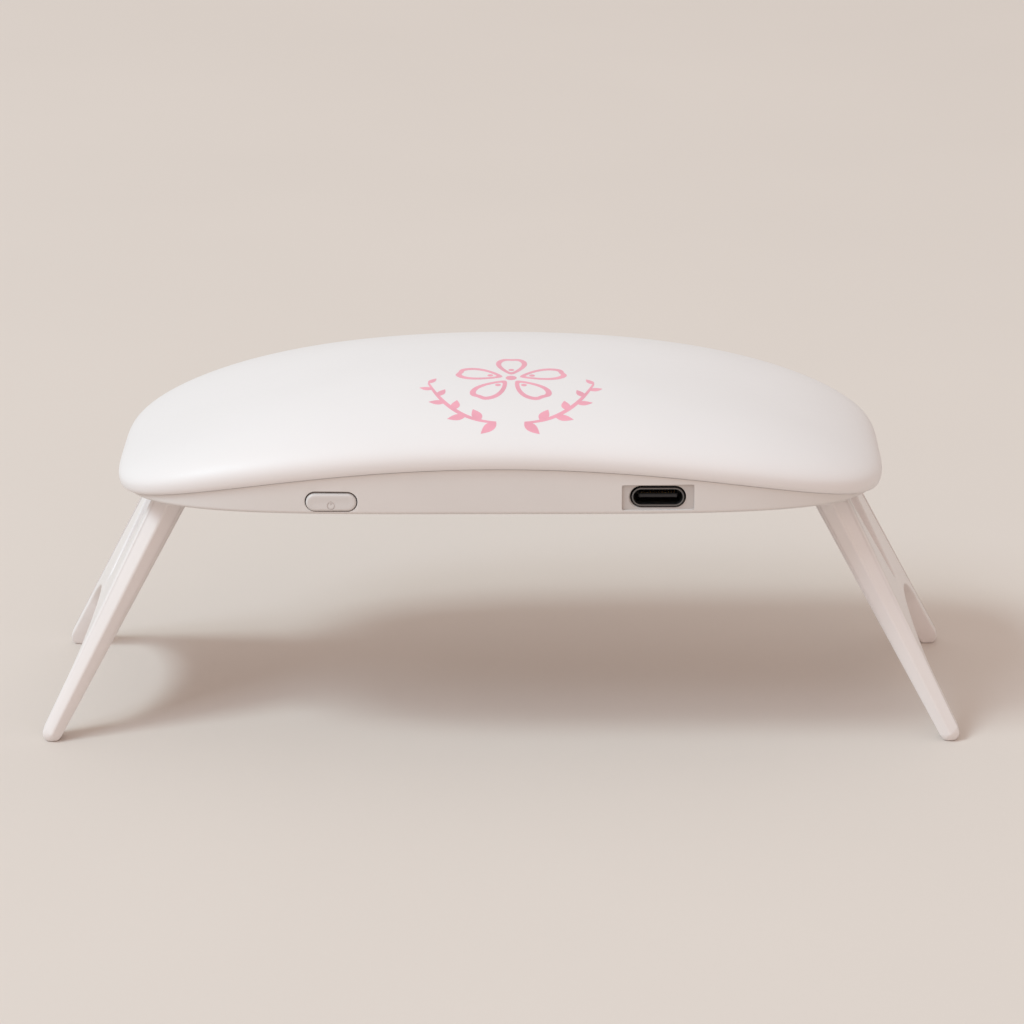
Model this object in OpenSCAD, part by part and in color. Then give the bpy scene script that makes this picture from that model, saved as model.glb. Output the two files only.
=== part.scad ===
// Folding nail lamp: an arched, domed housing on two folding legs, with six
// ultraviolet light diodes looking down. Millimetres, X along the housing,
// -Y towards the button and the charging port, Z up, floor at Z = 0.

/* [Housing] */
// Length of the housing
body_l = 133; // [124:0.5:150]
// Depth of the housing, front to back
body_w = 64.6; // [62:0.2:72]
// Height of the underside above the floor
stand_h = 43.5; // [38:0.1:52]
// Height of the parting line above the underside, at mid length
parting_h = 8.2; // [7.8:0.1:9]
// Radius of the arch that the parting line follows
arch_r = 264; // [250:1:400]
// Height of the crown above the parting line
crown_h = 10.5; // [10:0.1:14]
// Squareness of the plan outline
plan_power = 4.2; // [3.6:0.1:6]
// Fullness of the dome
dome_power = 2.2; // [2.2:0.1:3]
// Height of the rolled rim of the cover
rim_h = 1.6; // [1:0.1:2]
// Wall of the cover
cover_wall = 1.5; // [1.2:0.1:1.8]
// Wall of the lower casing
casing_wall = 1.6; // [1.3:0.1:1.8]
// Step from the cover's rim in to the lower casing
casing_step = 0.4; // [0.2:0.1:0.8]
// Groove between the cover and the lower casing
parting_gap = 0.3; // [0.2:0.05:0.4]
// Thickness of floors and inner walls
plate_t = 1.0; // [0.8:0.1:1.2]

/* [Legs] */
// Distance of a hinge axis from the middle of the lamp
hinge_x = 54; // [51:0.5:56]
// Height of the hinge axis above the underside
hinge_up = 3.2; // [3.1:0.05:3.4]
// Lean of an open leg from upright
leg_lean = 28; // [24:0.5:32]
// Diameter of the knuckle at the top of a leg
knuckle_d = 5.8; // [5.7:0.05:6]
// Thickness of a leg just below its knuckle
leg_t_top = 5.5; // [4.8:0.1:5.6]
// Thickness of a leg at the foot
leg_t_foot = 3.3; // [3:0.1:4.5]
// Distance in from the front of the housing to the outside of the feet
foot_inset = 5.7; // [5.7:0.1:8]
// How much wider a leg is across its feet than at the hinge
leg_flare = 27.2; // [24:0.2:28]
// Breadth of a foot
foot_w = 3.5; // [3:0.1:6]
// Breadth of a strut where the arch begins
strut_w = 4.6; // [4:0.1:7]
// Distance from the hinge to the top of the arch in a leg
arch_top = 34.5; // [32:0.5:36]
// Rise of the rounded part of that arch
arch_rise = 10; // [7:0.5:12]
// Depth of the ridge along a leg's edges, at the hinge
ridge_top = 1.6; // [0.8:0.1:2]
// Depth of the ridge along a leg's edges, at the foot
ridge_foot = 1.0; // [0.5:0.1:1.4]
// Depth of the V shaped relief in a leg's outer face
relief_d = 1.4; // [0.5:0.1:1.5]
// Clearance around a folded leg
leg_gap = 0.5; // [0.3:0.05:0.8]
// Diameter of a hinge pin
pin_d = 2; // [1.6:0.1:2.2]
// Running clearance of a hinge pin in its leg, on the radius
pin_gap = 0.05; // [0.02:0.01:0.1]

/* [Light] */
// Length of the light tub that hangs in the recess
tub_l = 38; // [36.5:0.5:38.5]
// Width of the light tub
tub_w = 24; // [22:0.5:25]
// Distance between diodes along the lamp
diode_pitch_x = 11.5; // [10.8:0.1:12]
// Distance between the two rows of diodes
diode_pitch_y = 10.6; // [10.4:0.1:11]
// Side of a diode package
diode_w = 3.5; // [3:0.1:3.6]
// Thickness of the clear window
window_t = 1.2; // [1:0.1:1.4]

/* [Port and button] */
// Distance of the charging port from the middle
port_x = 27; // [24:0.5:30]
// Height of the port's middle above the underside
port_up = 3.05; // [2.9:0.05:3.2]
// Width of the port's metal shell
port_w = 8.94; // [8.9:0.02:9]
// Height of the port's metal shell
port_h = 3.26; // [3.2:0.02:3.3]
// Length of the port's metal shell
port_l = 7.35; // [6.8:0.05:8]
// Gap around the port's shell in the casing
port_gap = 0.3; // [0.2:0.05:0.4]
// Distance of the button from the middle, on the other side
button_x = 28.4; // [26:0.2:31]
// Width of the button
button_w = 8.6; // [8:0.1:10]
// Height of the button
button_h = 3.2; // [2.8:0.1:3.4]
// Height of the button's middle above the underside
button_up = 2.3; // [2.2:0.05:2.6]
// Gap around the button in the casing
button_gap = 0.2; // [0.15:0.05:0.3]
// Travel of the button
button_travel = 0.4; // [0.3:0.05:0.5]

/* [Circuit board] */
// Distance in from the front of the housing to the edge of the circuit board
board_inset = 4.3; // [4:0.1:4.8]
// Thickness of the circuit board
board_t = 1.0; // [0.8:0.1:1.6]
// Diameter of the board screws
board_screw_d = 1.4; // [1.2:0.1:1.7]
// Diameter of the case screws
case_screw_d = 1.7; // [1.5:0.1:2]

/* [Hidden] */

// Small clearances and overlaps
slack = 0.2;
seat = 0.05;
tight = 0.02;
eps = 0.01;
through = 100;
fine = 48;

// Places that follow from the driving sizes
half_l = body_l / 2;
half_w = body_w / 2;
parting_z = stand_h + parting_h;
floor_z = stand_h + plate_t;
hinge_z = stand_h + hinge_up;
knuckle_r = knuckle_d / 2;
recess_top = hinge_z + knuckle_r + leg_gap / 2;
ceiling_z = recess_top + plate_t;
board_z = ceiling_z + 0.6;
tongue_inset = cover_wall + slack;
tongue_t = 1.0;
tongue_h = 1.4;
outline_steps = 72;

// Distance from the hinge to the round of the feet, which are cut flat underneath
foot_flat = 0.25;
leg_reach = (hinge_z - leg_t_foot / 2 + foot_flat) / cos(leg_lean);
leg_w_foot = body_w - 2 * foot_inset;
leg_w_top = leg_w_foot - leg_flare;
// Half breadth of a leg at a distance s from its hinge
function leg_half(s) = leg_w_top / 2 + leg_flare / 2 * s / leg_reach;
// The knuckle is as wide as the leg where it leaves the underside
knuckle_half = leg_half(hinge_up / cos(leg_lean));

// Points of the plan outline, drawn in by an inset
function wave(v, p) = sign(v) * pow(abs(v), 2 / p);
function plan_point(inset, angle, share = 1) =
    [(half_l - inset) * share * wave(cos(angle), plan_power),
     (half_w - inset) * share * wave(sin(angle), plan_power)];
function plan(inset) = [for (k = [0 : outline_steps - 1]) plan_point(inset, 360 * k / outline_steps)];
// Distance from the middle to the outline's front, at a place along the lamp
function plan_front(x, inset) =
    (half_w - inset) * pow(1 - pow(abs(x) / (half_l - inset), plan_power), 1 / plan_power);
// Height of the parting arch above the floor, at a place along the lamp
function arch_z(x) = parting_z - arch_r + sqrt(arch_r * arch_r - x * x);
// Height of the cover's outer face above the floor
function dome_z(x, y) =
    let (share = pow(pow(x / half_l, plan_power) + pow(y / half_w, plan_power), 1 / plan_power))
    arch_z(x) + rim_h + (crown_h - rim_h) * sqrt(1 - pow(share, dome_power));

module outline(inset) {
    polygon(plan(inset));
}

// Everything under the parting arch, raised or lowered by a shift
module under_arch(shift) {
    translate([0, 0, parting_z - arch_r])
        rotate([90, 0, 0])
            cylinder(h = body_w + 4, r = arch_r + shift, center = true, $fn = 720);
}

module plan_ring(outer, inner, low, high) {
    translate([0, 0, low])
        linear_extrude(high - low)
            difference() {
                outline(outer);
                outline(inner);
            }
}

// Oblong with round ends, drawn flat
module oblong(w, h) {
    square([w - h, h], center = true);
    for (side = [-1, 1])
        translate([side * (w - h) / 2, 0])
            circle(d = h, $fn = fine);
}

// The same oblong facing the front wall, from depth y0 back to y1
module front_oblong(x, z, w, h, y0, y1) {
    translate([x, y1, z])
        rotate([90, 0, 0])
            linear_extrude(y1 - y0)
                oblong(w, h);
}

module flat_oblong(w, h, low, high) {
    translate([0, 0, low])
        linear_extrude(high - low)
            oblong(w, h);
}

// Cover: one loft of the plan outline, rolled at the rim and domed over the top
dome_rings = 10;
inner_rings = 7;
roll_in = 0.35;
roll_h = 0.5;
function cover_ring(inset, share, h) =
    [for (k = [0 : outline_steps - 1])
        let (p = plan_point(inset, 360 * k / outline_steps, share))
        [p[0], p[1], arch_z(p[0]) + h]];
function dome_share(turn) = pow(cos(turn), 2 / dome_power);
function outer_rings() = concat(
    [cover_ring(roll_in, 1, 0), cover_ring(roll_in * 0.3, 1, roll_h * 0.3), cover_ring(0, 1, roll_h)],
    [for (k = [0 : dome_rings - 1])
        let (turn = 90 * k / dome_rings)
        cover_ring(0, dome_share(turn), rim_h + (crown_h - rim_h) * sin(turn))]);
function inside_rings() = concat(
    [for (k = [inner_rings - 1 : -1 : 0])
        let (turn = 90 * k / inner_rings)
        cover_ring(cover_wall, dome_share(turn), rim_h + (crown_h - rim_h - cover_wall) * sin(turn))],
    [cover_ring(cover_wall, 1, 0)]);

module cover_shell() {
    outer = outer_rings();
    inside = inside_rings();
    rings = concat(outer, inside);
    n = outline_steps;
    top = len(outer);
    count = len(rings);
    apex_out = [0, 0, parting_z + crown_h];
    apex_in = [0, 0, parting_z + crown_h - cover_wall];
    points = concat([for (ring = rings) each ring], [apex_out, apex_in]);
    // a band of triangles between ring a and ring b
    bands = [for (a = [0 : count - 1])
        let (b = (a + 1) % count)
        if (a != top - 1)
            for (k = [0 : n - 1])
                let (m = (k + 1) % n)
                each [[a * n + k, b * n + k, b * n + m], [a * n + k, b * n + m, a * n + m]]];
    caps = [for (k = [0 : n - 1])
        let (m = (k + 1) % n)
        each [[(top - 1) * n + k, count * n, (top - 1) * n + m],
              [top * n + k, top * n + m, count * n + 1]]];
    polyhedron(points, concat(bands, caps), convexity = 6);
}

// Case screws: through the underside into bosses of the cover
case_screw_x = hinge_x - 7;
case_screw_y = half_w - 10.8;
case_boss_r = 2.7;
case_boss_h = 4;
case_boss_top = stand_h + case_boss_h;
case_head_r = 1.9;
case_head_h = 1.3;
case_head_z = stand_h + 1.2;
case_screw_l = 5.2;
case_thread_l = 4.2;

module at_case_screws() {
    for (sx = [-1, 1])
        for (sy = [-1, 1])
            translate([sx * case_screw_x, sy * case_screw_y, 0])
                children();
}

module top_cover() {
    boss_r = case_boss_r - parting_gap;
    boss_low = case_boss_top + slack;
    boss_high = dome_z(case_screw_x + boss_r * 0.7, case_screw_y + boss_r * 0.7) - cover_wall / 3;
    color("snow")
        difference() {
            union() {
                cover_shell();
                at_case_screws()
                    translate([0, 0, boss_low])
                        cylinder(h = boss_high - boss_low, r = boss_r, $fn = fine);
            }
            at_case_screws()
                translate([0, 0, boss_low - eps])
                    cylinder(h = case_thread_l, d = case_screw_d + 2 * tight, $fn = fine);
        }
}

// Leg recess seen from above: narrow at the hinges, wide at mid length
module recess_plan(wall) {
    end_half = knuckle_half + leg_gap + wall;
    mid_half = leg_half(hinge_x) + leg_gap + wall;
    polygon([[-hinge_x, -end_half], [0, -mid_half], [hinge_x, -end_half],
             [hinge_x, end_half], [0, mid_half], [-hinge_x, end_half]]);
}

// Space of each leg at its hinge, round the knuckle and out to the stop
knuckle_steps = 10;
module hinge_space(wall, low) {
    half = knuckle_half + leg_gap + wall;
    reach = knuckle_r + leg_gap / 2 + wall;
    stop_x = hinge_x + reach / cos(leg_lean) + (hinge_z - low) * tan(leg_lean);
    round_off = [for (k = [0 : knuckle_steps])
        let (turn = leg_lean + (90 - leg_lean) * k / knuckle_steps)
        [hinge_x + reach * cos(turn), hinge_z + reach * sin(turn)]];
    for (side = [0, 1])
        mirror([side, 0, 0])
            translate([0, half, 0])
                rotate([90, 0, 0])
                    linear_extrude(2 * half)
                        polygon(concat([[hinge_x - 1, low], [stop_x, low]], round_off,
                                       [[hinge_x - 1, hinge_z + reach]]));
}

// The whole recess, or the block of its walls
module recess_block(wall, low) {
    translate([0, 0, low])
        linear_extrude(recess_top + wall - low)
            recess_plan(wall);
    hinge_space(wall, low);
}

// Board posts stand just past the button's switch and the port
switch_w = 6;
frame_t = 0.25;
post_r = 2.2;
post_gap = 1.55;
post_hole_l = 4.5;
board_post_x = max(button_x + switch_w / 2 + frame_t, port_x + port_w / 2) + post_gap + post_r;
board_l = 2 * (board_post_x + post_r + post_gap);
board_w = body_w - 2 * board_inset;
board_post_y = board_w / 2 - post_r - 2;
module at_board_posts() {
    for (sx = [-1, 1])
        for (sy = [-1, 1])
            translate([sx * board_post_x, sy * board_post_y, 0])
                children();
}

port_z = stand_h + port_up;
button_z = stand_h + button_up;
port_front = -plan_front(port_x, casing_step);
button_front = -plan_front(button_x, casing_step);
hinge_boss_r = hinge_up - 0.2;
hinge_boss_l = 2.6;

module lower_casing() {
    color("whitesmoke")
        difference() {
            union() {
                // skirt, cut along the arch
                intersection() {
                    plan_ring(casing_step, casing_step + casing_wall, stand_h, parting_z);
                    under_arch(-parting_gap);
                }
                // tongue that registers the cover
                intersection() {
                    plan_ring(tongue_inset, tongue_inset + tongue_t, stand_h, parting_z + tongue_h);
                    under_arch(tongue_h);
                }
                // floor
                translate([0, 0, stand_h])
                    linear_extrude(plate_t)
                        outline(tongue_inset);
                // walls and ceiling of the leg recess
                intersection() {
                    recess_block(plate_t, stand_h);
                    translate([-half_l, -half_w, stand_h])
                        cube([body_l, body_w, through]);
                }
                // bosses for the hinge pins
                for (sx = [-1, 1])
                    for (sy = [-1, 1])
                        translate([sx * hinge_x, sy * (knuckle_half + leg_gap), hinge_z])
                            rotate([-90 * sy, 0, 0])
                                cylinder(h = plate_t + hinge_boss_l, r = hinge_boss_r, $fn = fine);
                // bosses for the case screws and posts for the board
                at_case_screws()
                    translate([0, 0, stand_h])
                        cylinder(h = case_boss_h, r = case_boss_r, $fn = fine);
                at_board_posts()
                    translate([0, 0, stand_h])
                        cylinder(h = board_z - stand_h, r = post_r, $fn = fine);
            }
            // leg recess
            recess_block(0, stand_h - 1);
            // case screws
            at_case_screws() {
                translate([0, 0, stand_h - eps])
                    cylinder(h = case_head_z + case_head_h + eps - stand_h, r = case_head_r + slack, $fn = fine);
                translate([0, 0, stand_h])
                    cylinder(h = through, d = case_screw_d + 0.3, $fn = fine);
            }
            at_board_posts()
                translate([0, 0, board_z - post_hole_l])
                    cylinder(h = post_hole_l + 1, d = board_screw_d + 2 * tight, $fn = fine);
            // hinge pins
            for (sx = [-1, 1])
                translate([sx * hinge_x, 0, hinge_z])
                    rotate([90, 0, 0])
                        cylinder(h = pin_l + 2 * eps, d = pin_d + 2 * tight, center = true, $fn = fine);
            // hole for the light tub
            flat_oblong(tub_l - tub_wall, tub_w - tub_wall, stand_h, through);
            // port: opening and shallow seat around it
            front_oblong(port_x, port_z, port_w + 2 * port_gap, port_h + 2 * port_gap, -half_w - 1,
                         port_front + 4);
            translate([port_x - port_seat_w / 2, -half_w - 1, port_z - port_seat_h / 2])
                cube([port_seat_w, half_w + 1 + port_front + port_seat_d, port_seat_h]);
            // button opening
            front_oblong(-button_x, button_z, button_w + 2 * button_gap, button_h + 2 * button_gap,
                         -half_w - 1, collar_y0 + collar_t + button_travel + slack);
        }
    light_tub();
}
port_seat_w = 12.3;
port_seat_h = 4.5;
port_seat_d = 0.35;
pin_l = 2 * (knuckle_half + leg_gap + plate_t + hinge_boss_l);

// Light tub: an oval bezel that hangs from the ceiling between the folded legs
tub_wall = 1.2;
tub_lip = 1.0;
tub_drop = 4.6;
tub_floor = 0.6;
tub_inner_l = tub_l - 2 * tub_wall;
tub_inner_w = tub_w - 2 * tub_wall;
tub_low = ceiling_z - tub_drop;
module light_tub() {
    color("whitesmoke")
        difference() {
            flat_oblong(tub_l, tub_w, tub_low, ceiling_z);
            flat_oblong(tub_inner_l, tub_inner_w, tub_low + tub_floor, ceiling_z + 1);
            flat_oblong(tub_inner_l - 2 * tub_lip, tub_inner_w - 2 * tub_lip, tub_low - 1, ceiling_z);
        }
}

window_z = tub_low + tub_floor;
module light_window() {
    color("lavender", 0.5)
        flat_oblong(tub_inner_l - 2 * slack, tub_inner_w - 2 * slack, window_z + seat, window_z + window_t);
}

// Reflector: a bright block with one flared cup for each diode
reflector_low = window_z + window_t + seat;
reflector_high = board_z - 0.3;
cup_r_low = diode_pitch_y / 2 - 0.2;
cup_r_high = diode_w * 0.74;
module at_diodes() {
    for (col = [-1 : 1])
        for (row = [-0.5, 0.5])
            translate([col * diode_pitch_x, row * diode_pitch_y, 0])
                children();
}
module reflector() {
    color("silver")
        difference() {
            flat_oblong(tub_inner_l - 2 * slack, tub_inner_w - 2 * slack, reflector_low, reflector_high);
            at_diodes()
                translate([0, 0, reflector_low - eps])
                    cylinder(h = reflector_high - reflector_low + 2 * eps, r1 = cup_r_low,
                             r2 = cup_r_high, $fn = fine);
        }
}

diode_base_t = 0.8;
dome_r = 1.45;
module diode_bases() {
    color("ivory")
        at_diodes()
            translate([-diode_w / 2, -diode_w / 2, board_z - diode_base_t])
                cube([diode_w, diode_w, diode_base_t]);
}
module diode_domes() {
    color("lightcyan", 0.6)
        at_diodes()
            translate([0, 0, board_z - diode_base_t])
                rotate([180, 0, 0])
                    rotate_extrude($fn = fine)
                        intersection() {
                            circle(r = dome_r, $fn = fine);
                            square(dome_r);
                        }
}

// Circuit board with round corners and holes for its screws
board_head_r = 1.45;
board_head_h = 0.9;
board_screw_l = 4.4;
board_corner = 5;
module main_board() {
    color("seagreen")
        translate([0, 0, board_z])
            linear_extrude(board_t)
                difference() {
                    union() {
                        square([board_l - 2 * board_corner, board_w], center = true);
                        square([board_l, board_w - 2 * board_corner], center = true);
                        for (sx = [-1, 1])
                            for (sy = [-1, 1])
                                translate([sx * (board_l / 2 - board_corner), sy * (board_w / 2 - board_corner)])
                                    circle(r = board_corner, $fn = fine);
                    }
                    at_board_posts()
                        circle(d = board_screw_d + 2 * slack, $fn = fine);
                }
}

// Charging port
port_wall = 0.3;
port_y0 = port_front + 0.5;
port_y1 = port_y0 + port_l;
module port_shell() {
    color("dimgray")
        difference() {
            front_oblong(port_x, port_z, port_w, port_h, port_y0, port_y1);
            front_oblong(port_x, port_z, port_w - 2 * port_wall, port_h - 2 * port_wall, port_y0 - 1,
                         port_y1 + 1);
        }
}
// Moulded base: closes the back of the shell and lifts it to the board
port_plug_l = 1.6;
port_foot_w = port_w - 2;
port_foot_back = 3.2;
module port_base() {
    color([0.1, 0.1, 0.1]) {
        front_oblong(port_x, port_z, port_w - 2 * port_wall, port_h - 2 * port_wall,
                     port_y1 - port_plug_l, port_y1);
        translate([port_x - port_foot_w / 2, port_y0 + port_foot_back, port_z + port_h / 2])
            cube([port_foot_w, port_l - port_foot_back, board_z - port_z - port_h / 2]);
    }
}
tongue_w = 6.6;
tongue_thick = 0.7;
tongue_back = 0.8;
tongue_y0 = port_y0 + tongue_back;
module port_tongue() {
    color([0.12, 0.12, 0.12])
        translate([port_x - tongue_w / 2, tongue_y0, port_z - tongue_thick / 2])
            cube([tongue_w, port_y1 - port_plug_l - tongue_y0, tongue_thick]);
}
contact_count = 12;
contact_pitch = 0.5;
contact_t = 0.05;
contact_w = 0.28;
contact_l = 3.2;
contact_back = 0.7;
module port_contacts() {
    color("gold")
        for (k = [0 : contact_count - 1])
            for (side = [-1, 1])
                translate([port_x + (k - (contact_count - 1) / 2) * contact_pitch - contact_w / 2,
                           tongue_y0 + contact_back,
                           port_z + side * (tongue_thick / 2 + contact_t / 2) - contact_t / 2])
                    cube([contact_w, contact_l, contact_t]);
}

// Push switch behind the button, standing just above the floor
switch_h = 3.4;
switch_l = 3.2;
plunger_d = 1.6;
plunger_out = 0.9;
plunger_in = 1.4;
switch_low = floor_z + slack;
press_z = (button_z + switch_low + switch_h / 2) / 2;
collar_t = 0.8;
collar_w = button_w + 2;
collar_low = floor_z + 0.3;
collar_high = button_z + button_h / 2 + 0.7;
collar_y0 = slack - plan_front(button_x + collar_w / 2, tongue_inset + tongue_t);
stem_l = 0.8;
stem_d = 2;
plunger_y0 = collar_y0 + collar_t + stem_l + seat;
switch_y0 = plunger_y0 + plunger_out + frame_t;
module switch_body() {
    color([0.15, 0.15, 0.15])
        difference() {
            translate([-button_x - switch_w / 2, switch_y0, switch_low])
                cube([switch_w, switch_l, switch_h]);
            translate([-button_x, switch_y0 + plunger_in + button_travel + slack, press_z])
                rotate([90, 0, 0])
                    cylinder(h = plunger_in + button_travel + 1, d = plunger_d + 0.2, $fn = fine);
        }
}
// Metal frame: a plate over the switch's face with side legs up to the board
module switch_frame() {
    color("silver") {
        difference() {
            translate([-button_x - switch_w / 2, switch_y0 - frame_t, switch_low])
                cube([switch_w, frame_t, switch_h]);
            translate([-button_x, switch_y0 + 1, press_z])
                rotate([90, 0, 0])
                    cylinder(h = 3, d = plunger_d + 0.4, $fn = fine);
        }
        for (side = [-1, 1])
            translate([-button_x + side * (switch_w / 2 + frame_t / 2) - frame_t / 2,
                       switch_y0 - frame_t, switch_low])
                cube([frame_t, switch_l + frame_t, board_z - switch_low]);
    }
}
module switch_plunger() {
    color("white")
        translate([-button_x, switch_y0 + plunger_in, press_z])
            rotate([90, 0, 0])
                cylinder(h = plunger_in + frame_t + plunger_out, d = plunger_d, $fn = fine);
}

// Button: oblong cap, collar behind the wall and a stem that meets the plunger
button_proud = 0.25;
mark_r = 0.85;
mark_w = 0.22;
mark_t = 0.12;
module power_button() {
    color("whitesmoke")
        difference() {
            union() {
                front_oblong(-button_x, button_z, button_w, button_h, button_front - button_proud,
                             collar_y0 + collar_t);
                translate([-button_x - collar_w / 2, collar_y0, collar_low])
                    cube([collar_w, collar_t, collar_high - collar_low]);
                translate([-button_x, plunger_y0 - seat, press_z])
                    rotate([90, 0, 0])
                        cylinder(h = collar_t / 2 + stem_l, d = stem_d, $fn = fine);
            }
            // on and off mark, sunk into the face
            translate([-button_x, button_front - button_proud + mark_t, button_z])
                rotate([90, 0, 0])
                    linear_extrude(1)
                        power_mark();
        }
}
// An open ring with a bar in its gap
module power_mark() {
    difference() {
        circle(r = mark_r, $fn = fine);
        circle(r = mark_r - mark_w, $fn = fine);
        translate([-mark_w * 1.3, 0])
            square([mark_w * 2.6, mark_r + 1]);
    }
    translate([-mark_w / 2, mark_r * 0.2])
        square([mark_w, mark_r]);
}

// Parts on top of the board
board_top = board_z + board_t;
module on_board(x, y, l, w, h) {
    translate([x - l / 2, y - w / 2, board_top])
        cube([l, w, h]);
}
chip_l = 4.9;
chip_w = 3.9;
chip_h = 1.45;
chip_x = -8;
chip_y = -14;
chip_pin_pitch = 1.27;
chip_pin_w = 0.42;
chip_pin_l = 1;
chip_pin_t = 0.2;
module timer_chip() {
    color([0.13, 0.13, 0.13])
        on_board(chip_x, chip_y, chip_l, chip_w, chip_h);
    color("silver")
        for (k = [0 : 3])
            for (side = [-1, 1])
                on_board(chip_x + (k - 1.5) * chip_pin_pitch, chip_y + side * (chip_w + chip_pin_l) / 2,
                         chip_pin_w, chip_pin_l, chip_pin_t);
}
transistor_x = 8;
transistor_y = -14;
transistor_pitch = 6;
transistor_l = 2.9;
transistor_w = 1.6;
transistor_h = 1.1;
module driver_transistors() {
    color([0.15, 0.15, 0.15])
        for (k = [-0.5, 0.5])
            on_board(transistor_x + k * transistor_pitch, transistor_y, transistor_l, transistor_w, transistor_h);
}
resistor_y = 12;
resistor_pitch = 5;
resistor_l = 3.2;
resistor_w = 1.6;
resistor_h = 0.6;
module resistors() {
    color([0.2, 0.2, 0.2])
        for (k = [0 : 5])
            on_board((k - 2.5) * resistor_pitch, resistor_y, resistor_l, resistor_w, resistor_h);
}
capacitor_x = 22;
capacitor_y = -16;
capacitor_pitch = 4.8;
capacitor_l = 2;
capacitor_w = 3.2;
capacitor_h = 1.2;
module capacitors() {
    color("tan")
        for (k = [-0.5, 0.5])
            on_board(capacitor_x + k * capacitor_pitch, capacitor_y, capacitor_l, capacitor_w, capacitor_h);
}

// One leg, standing straight down from its hinge, outer face towards +X
module edge_section(t, half, ridge) {
    polygon([[-t / 2, half - ridge], [0, half], [t / 2, half - ridge],
             [t / 2, ridge - half], [0, -half], [-t / 2, ridge - half]]);
}
module leg_blank() {
    hull() {
        translate([0, 0, -slack])
            linear_extrude(slack)
                edge_section(leg_t_top, leg_w_top / 2, ridge_top);
        translate([0, 0, -leg_reach])
            linear_extrude(slack)
                edge_section(leg_t_foot, leg_w_foot / 2, ridge_foot);
        translate([0, 0, -leg_reach])
            rotate([90, 0, 0])
                cylinder(h = leg_w_foot - 2 * ridge_foot, d = leg_t_foot, center = true, $fn = 24);
    }
}
arch_steps = 24;
module leg_arch() {
    foot_s = leg_reach + leg_t_foot;
    shoulder = arch_top + arch_rise;
    half_top = leg_half(shoulder) - strut_w;
    half_foot = leg_w_foot / 2 - foot_w;
    polygon(concat(
        [for (k = [0 : arch_steps])
            let (turn = 180 * k / arch_steps)
            [half_top * cos(turn), -shoulder + arch_rise * sin(turn)]],
        [[-half_foot, -foot_s], [half_foot, -foot_s]]));
}
relief_top_s = 5.5;
relief_end_s = arch_top - 4.5;
relief_side = 3.5;
module leg_relief() {
    top_half = leg_half(relief_top_s) - relief_side;
    polygon([[-top_half, -relief_top_s], [top_half, -relief_top_s],
             [1.2, -relief_end_s], [-1.2, -relief_end_s]]);
}
module leg() {
    difference() {
        union() {
            leg_blank();
            rotate([90, 0, 0])
                cylinder(h = 2 * knuckle_half, r = knuckle_r, center = true, $fn = fine);
        }
        // arch between the feet
        rotate([90, 0, 90])
            translate([0, 0, -leg_reach / 2])
                linear_extrude(leg_reach)
                    leg_arch();
        // V shaped relief, its bottom parallel to the tapering outer face
        rotate([0, relief_tilt, 0])
            translate([leg_t_top / 2 - relief_d, 0, 0])
                rotate([90, 0, 90])
                    linear_extrude(knuckle_d)
                        leg_relief();
        // bore for the hinge pin
        rotate([90, 0, 0])
            cylinder(h = 2 * knuckle_half + 2, d = pin_d + 2 * pin_gap, center = true, $fn = fine);
    }
}
relief_tilt = atan((leg_t_top - leg_t_foot) / 2 / leg_reach);
module placed_leg() {
    difference() {
        translate([hinge_x, 0, hinge_z])
            rotate([0, -leg_lean, 0])
                leg();
        translate([0, -body_w, -leg_reach])
            cube([body_l, 2 * body_w, leg_reach]);
    }
}
module right_leg() {
    color("whitesmoke")
        placed_leg();
}
module left_leg() {
    color("whitesmoke")
        mirror([1, 0, 0])
            placed_leg();
}

module hinge_pin(x) {
    color("silver")
        translate([x, 0, hinge_z])
            rotate([90, 0, 0])
                cylinder(h = pin_l, d = pin_d, center = true, $fn = fine);
}
module left_hinge_pin() {
    hinge_pin(-hinge_x);
}
module right_hinge_pin() {
    hinge_pin(hinge_x);
}

// Pan head screw, head down, with a cross slot; z is the seat under its head
module screw(d, head_r, head_h, l) {
    difference() {
        union() {
            translate([0, 0, -head_h])
                cylinder(h = head_h, r = head_r, $fn = fine);
            translate([0, 0, -eps])
                cylinder(h = l + eps, d = d, $fn = fine);
        }
        translate([0, 0, -head_h - eps])
            for (turn = [0, 90])
                rotate([0, 0, turn])
                    translate([-head_r * 0.6, -head_r * 0.12, 0])
                        cube([head_r * 1.2, head_r * 0.24, head_h * 0.55]);
    }
}
module case_screws() {
    color("gray")
        at_case_screws()
            translate([0, 0, case_head_z + case_head_h])
                screw(case_screw_d, case_head_r, case_head_h, case_screw_l);
}
module board_screws() {
    color("gray")
        at_board_posts()
            translate([0, 0, board_top])
                rotate([180, 0, 0])
                    screw(board_screw_d, board_head_r, board_head_h, board_screw_l);
}

top_cover();
lower_casing();
light_window();
reflector();
main_board();
diode_bases();
diode_domes();
port_shell();
port_base();
port_tongue();
port_contacts();
switch_body();
switch_frame();
switch_plunger();
power_button();
timer_chip();
driver_transistors();
resistors();
capacitors();
left_leg();
right_leg();
left_hinge_pin();
right_hinge_pin();
case_screws();
board_screws();
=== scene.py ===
# Folding nail lamp: dressed pieces, materials, lights and camera.
# Sizes are written in millimetres and become metres when a mesh is made.
import bpy
import bmesh
import math
from mathutils import Matrix, Vector


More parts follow.
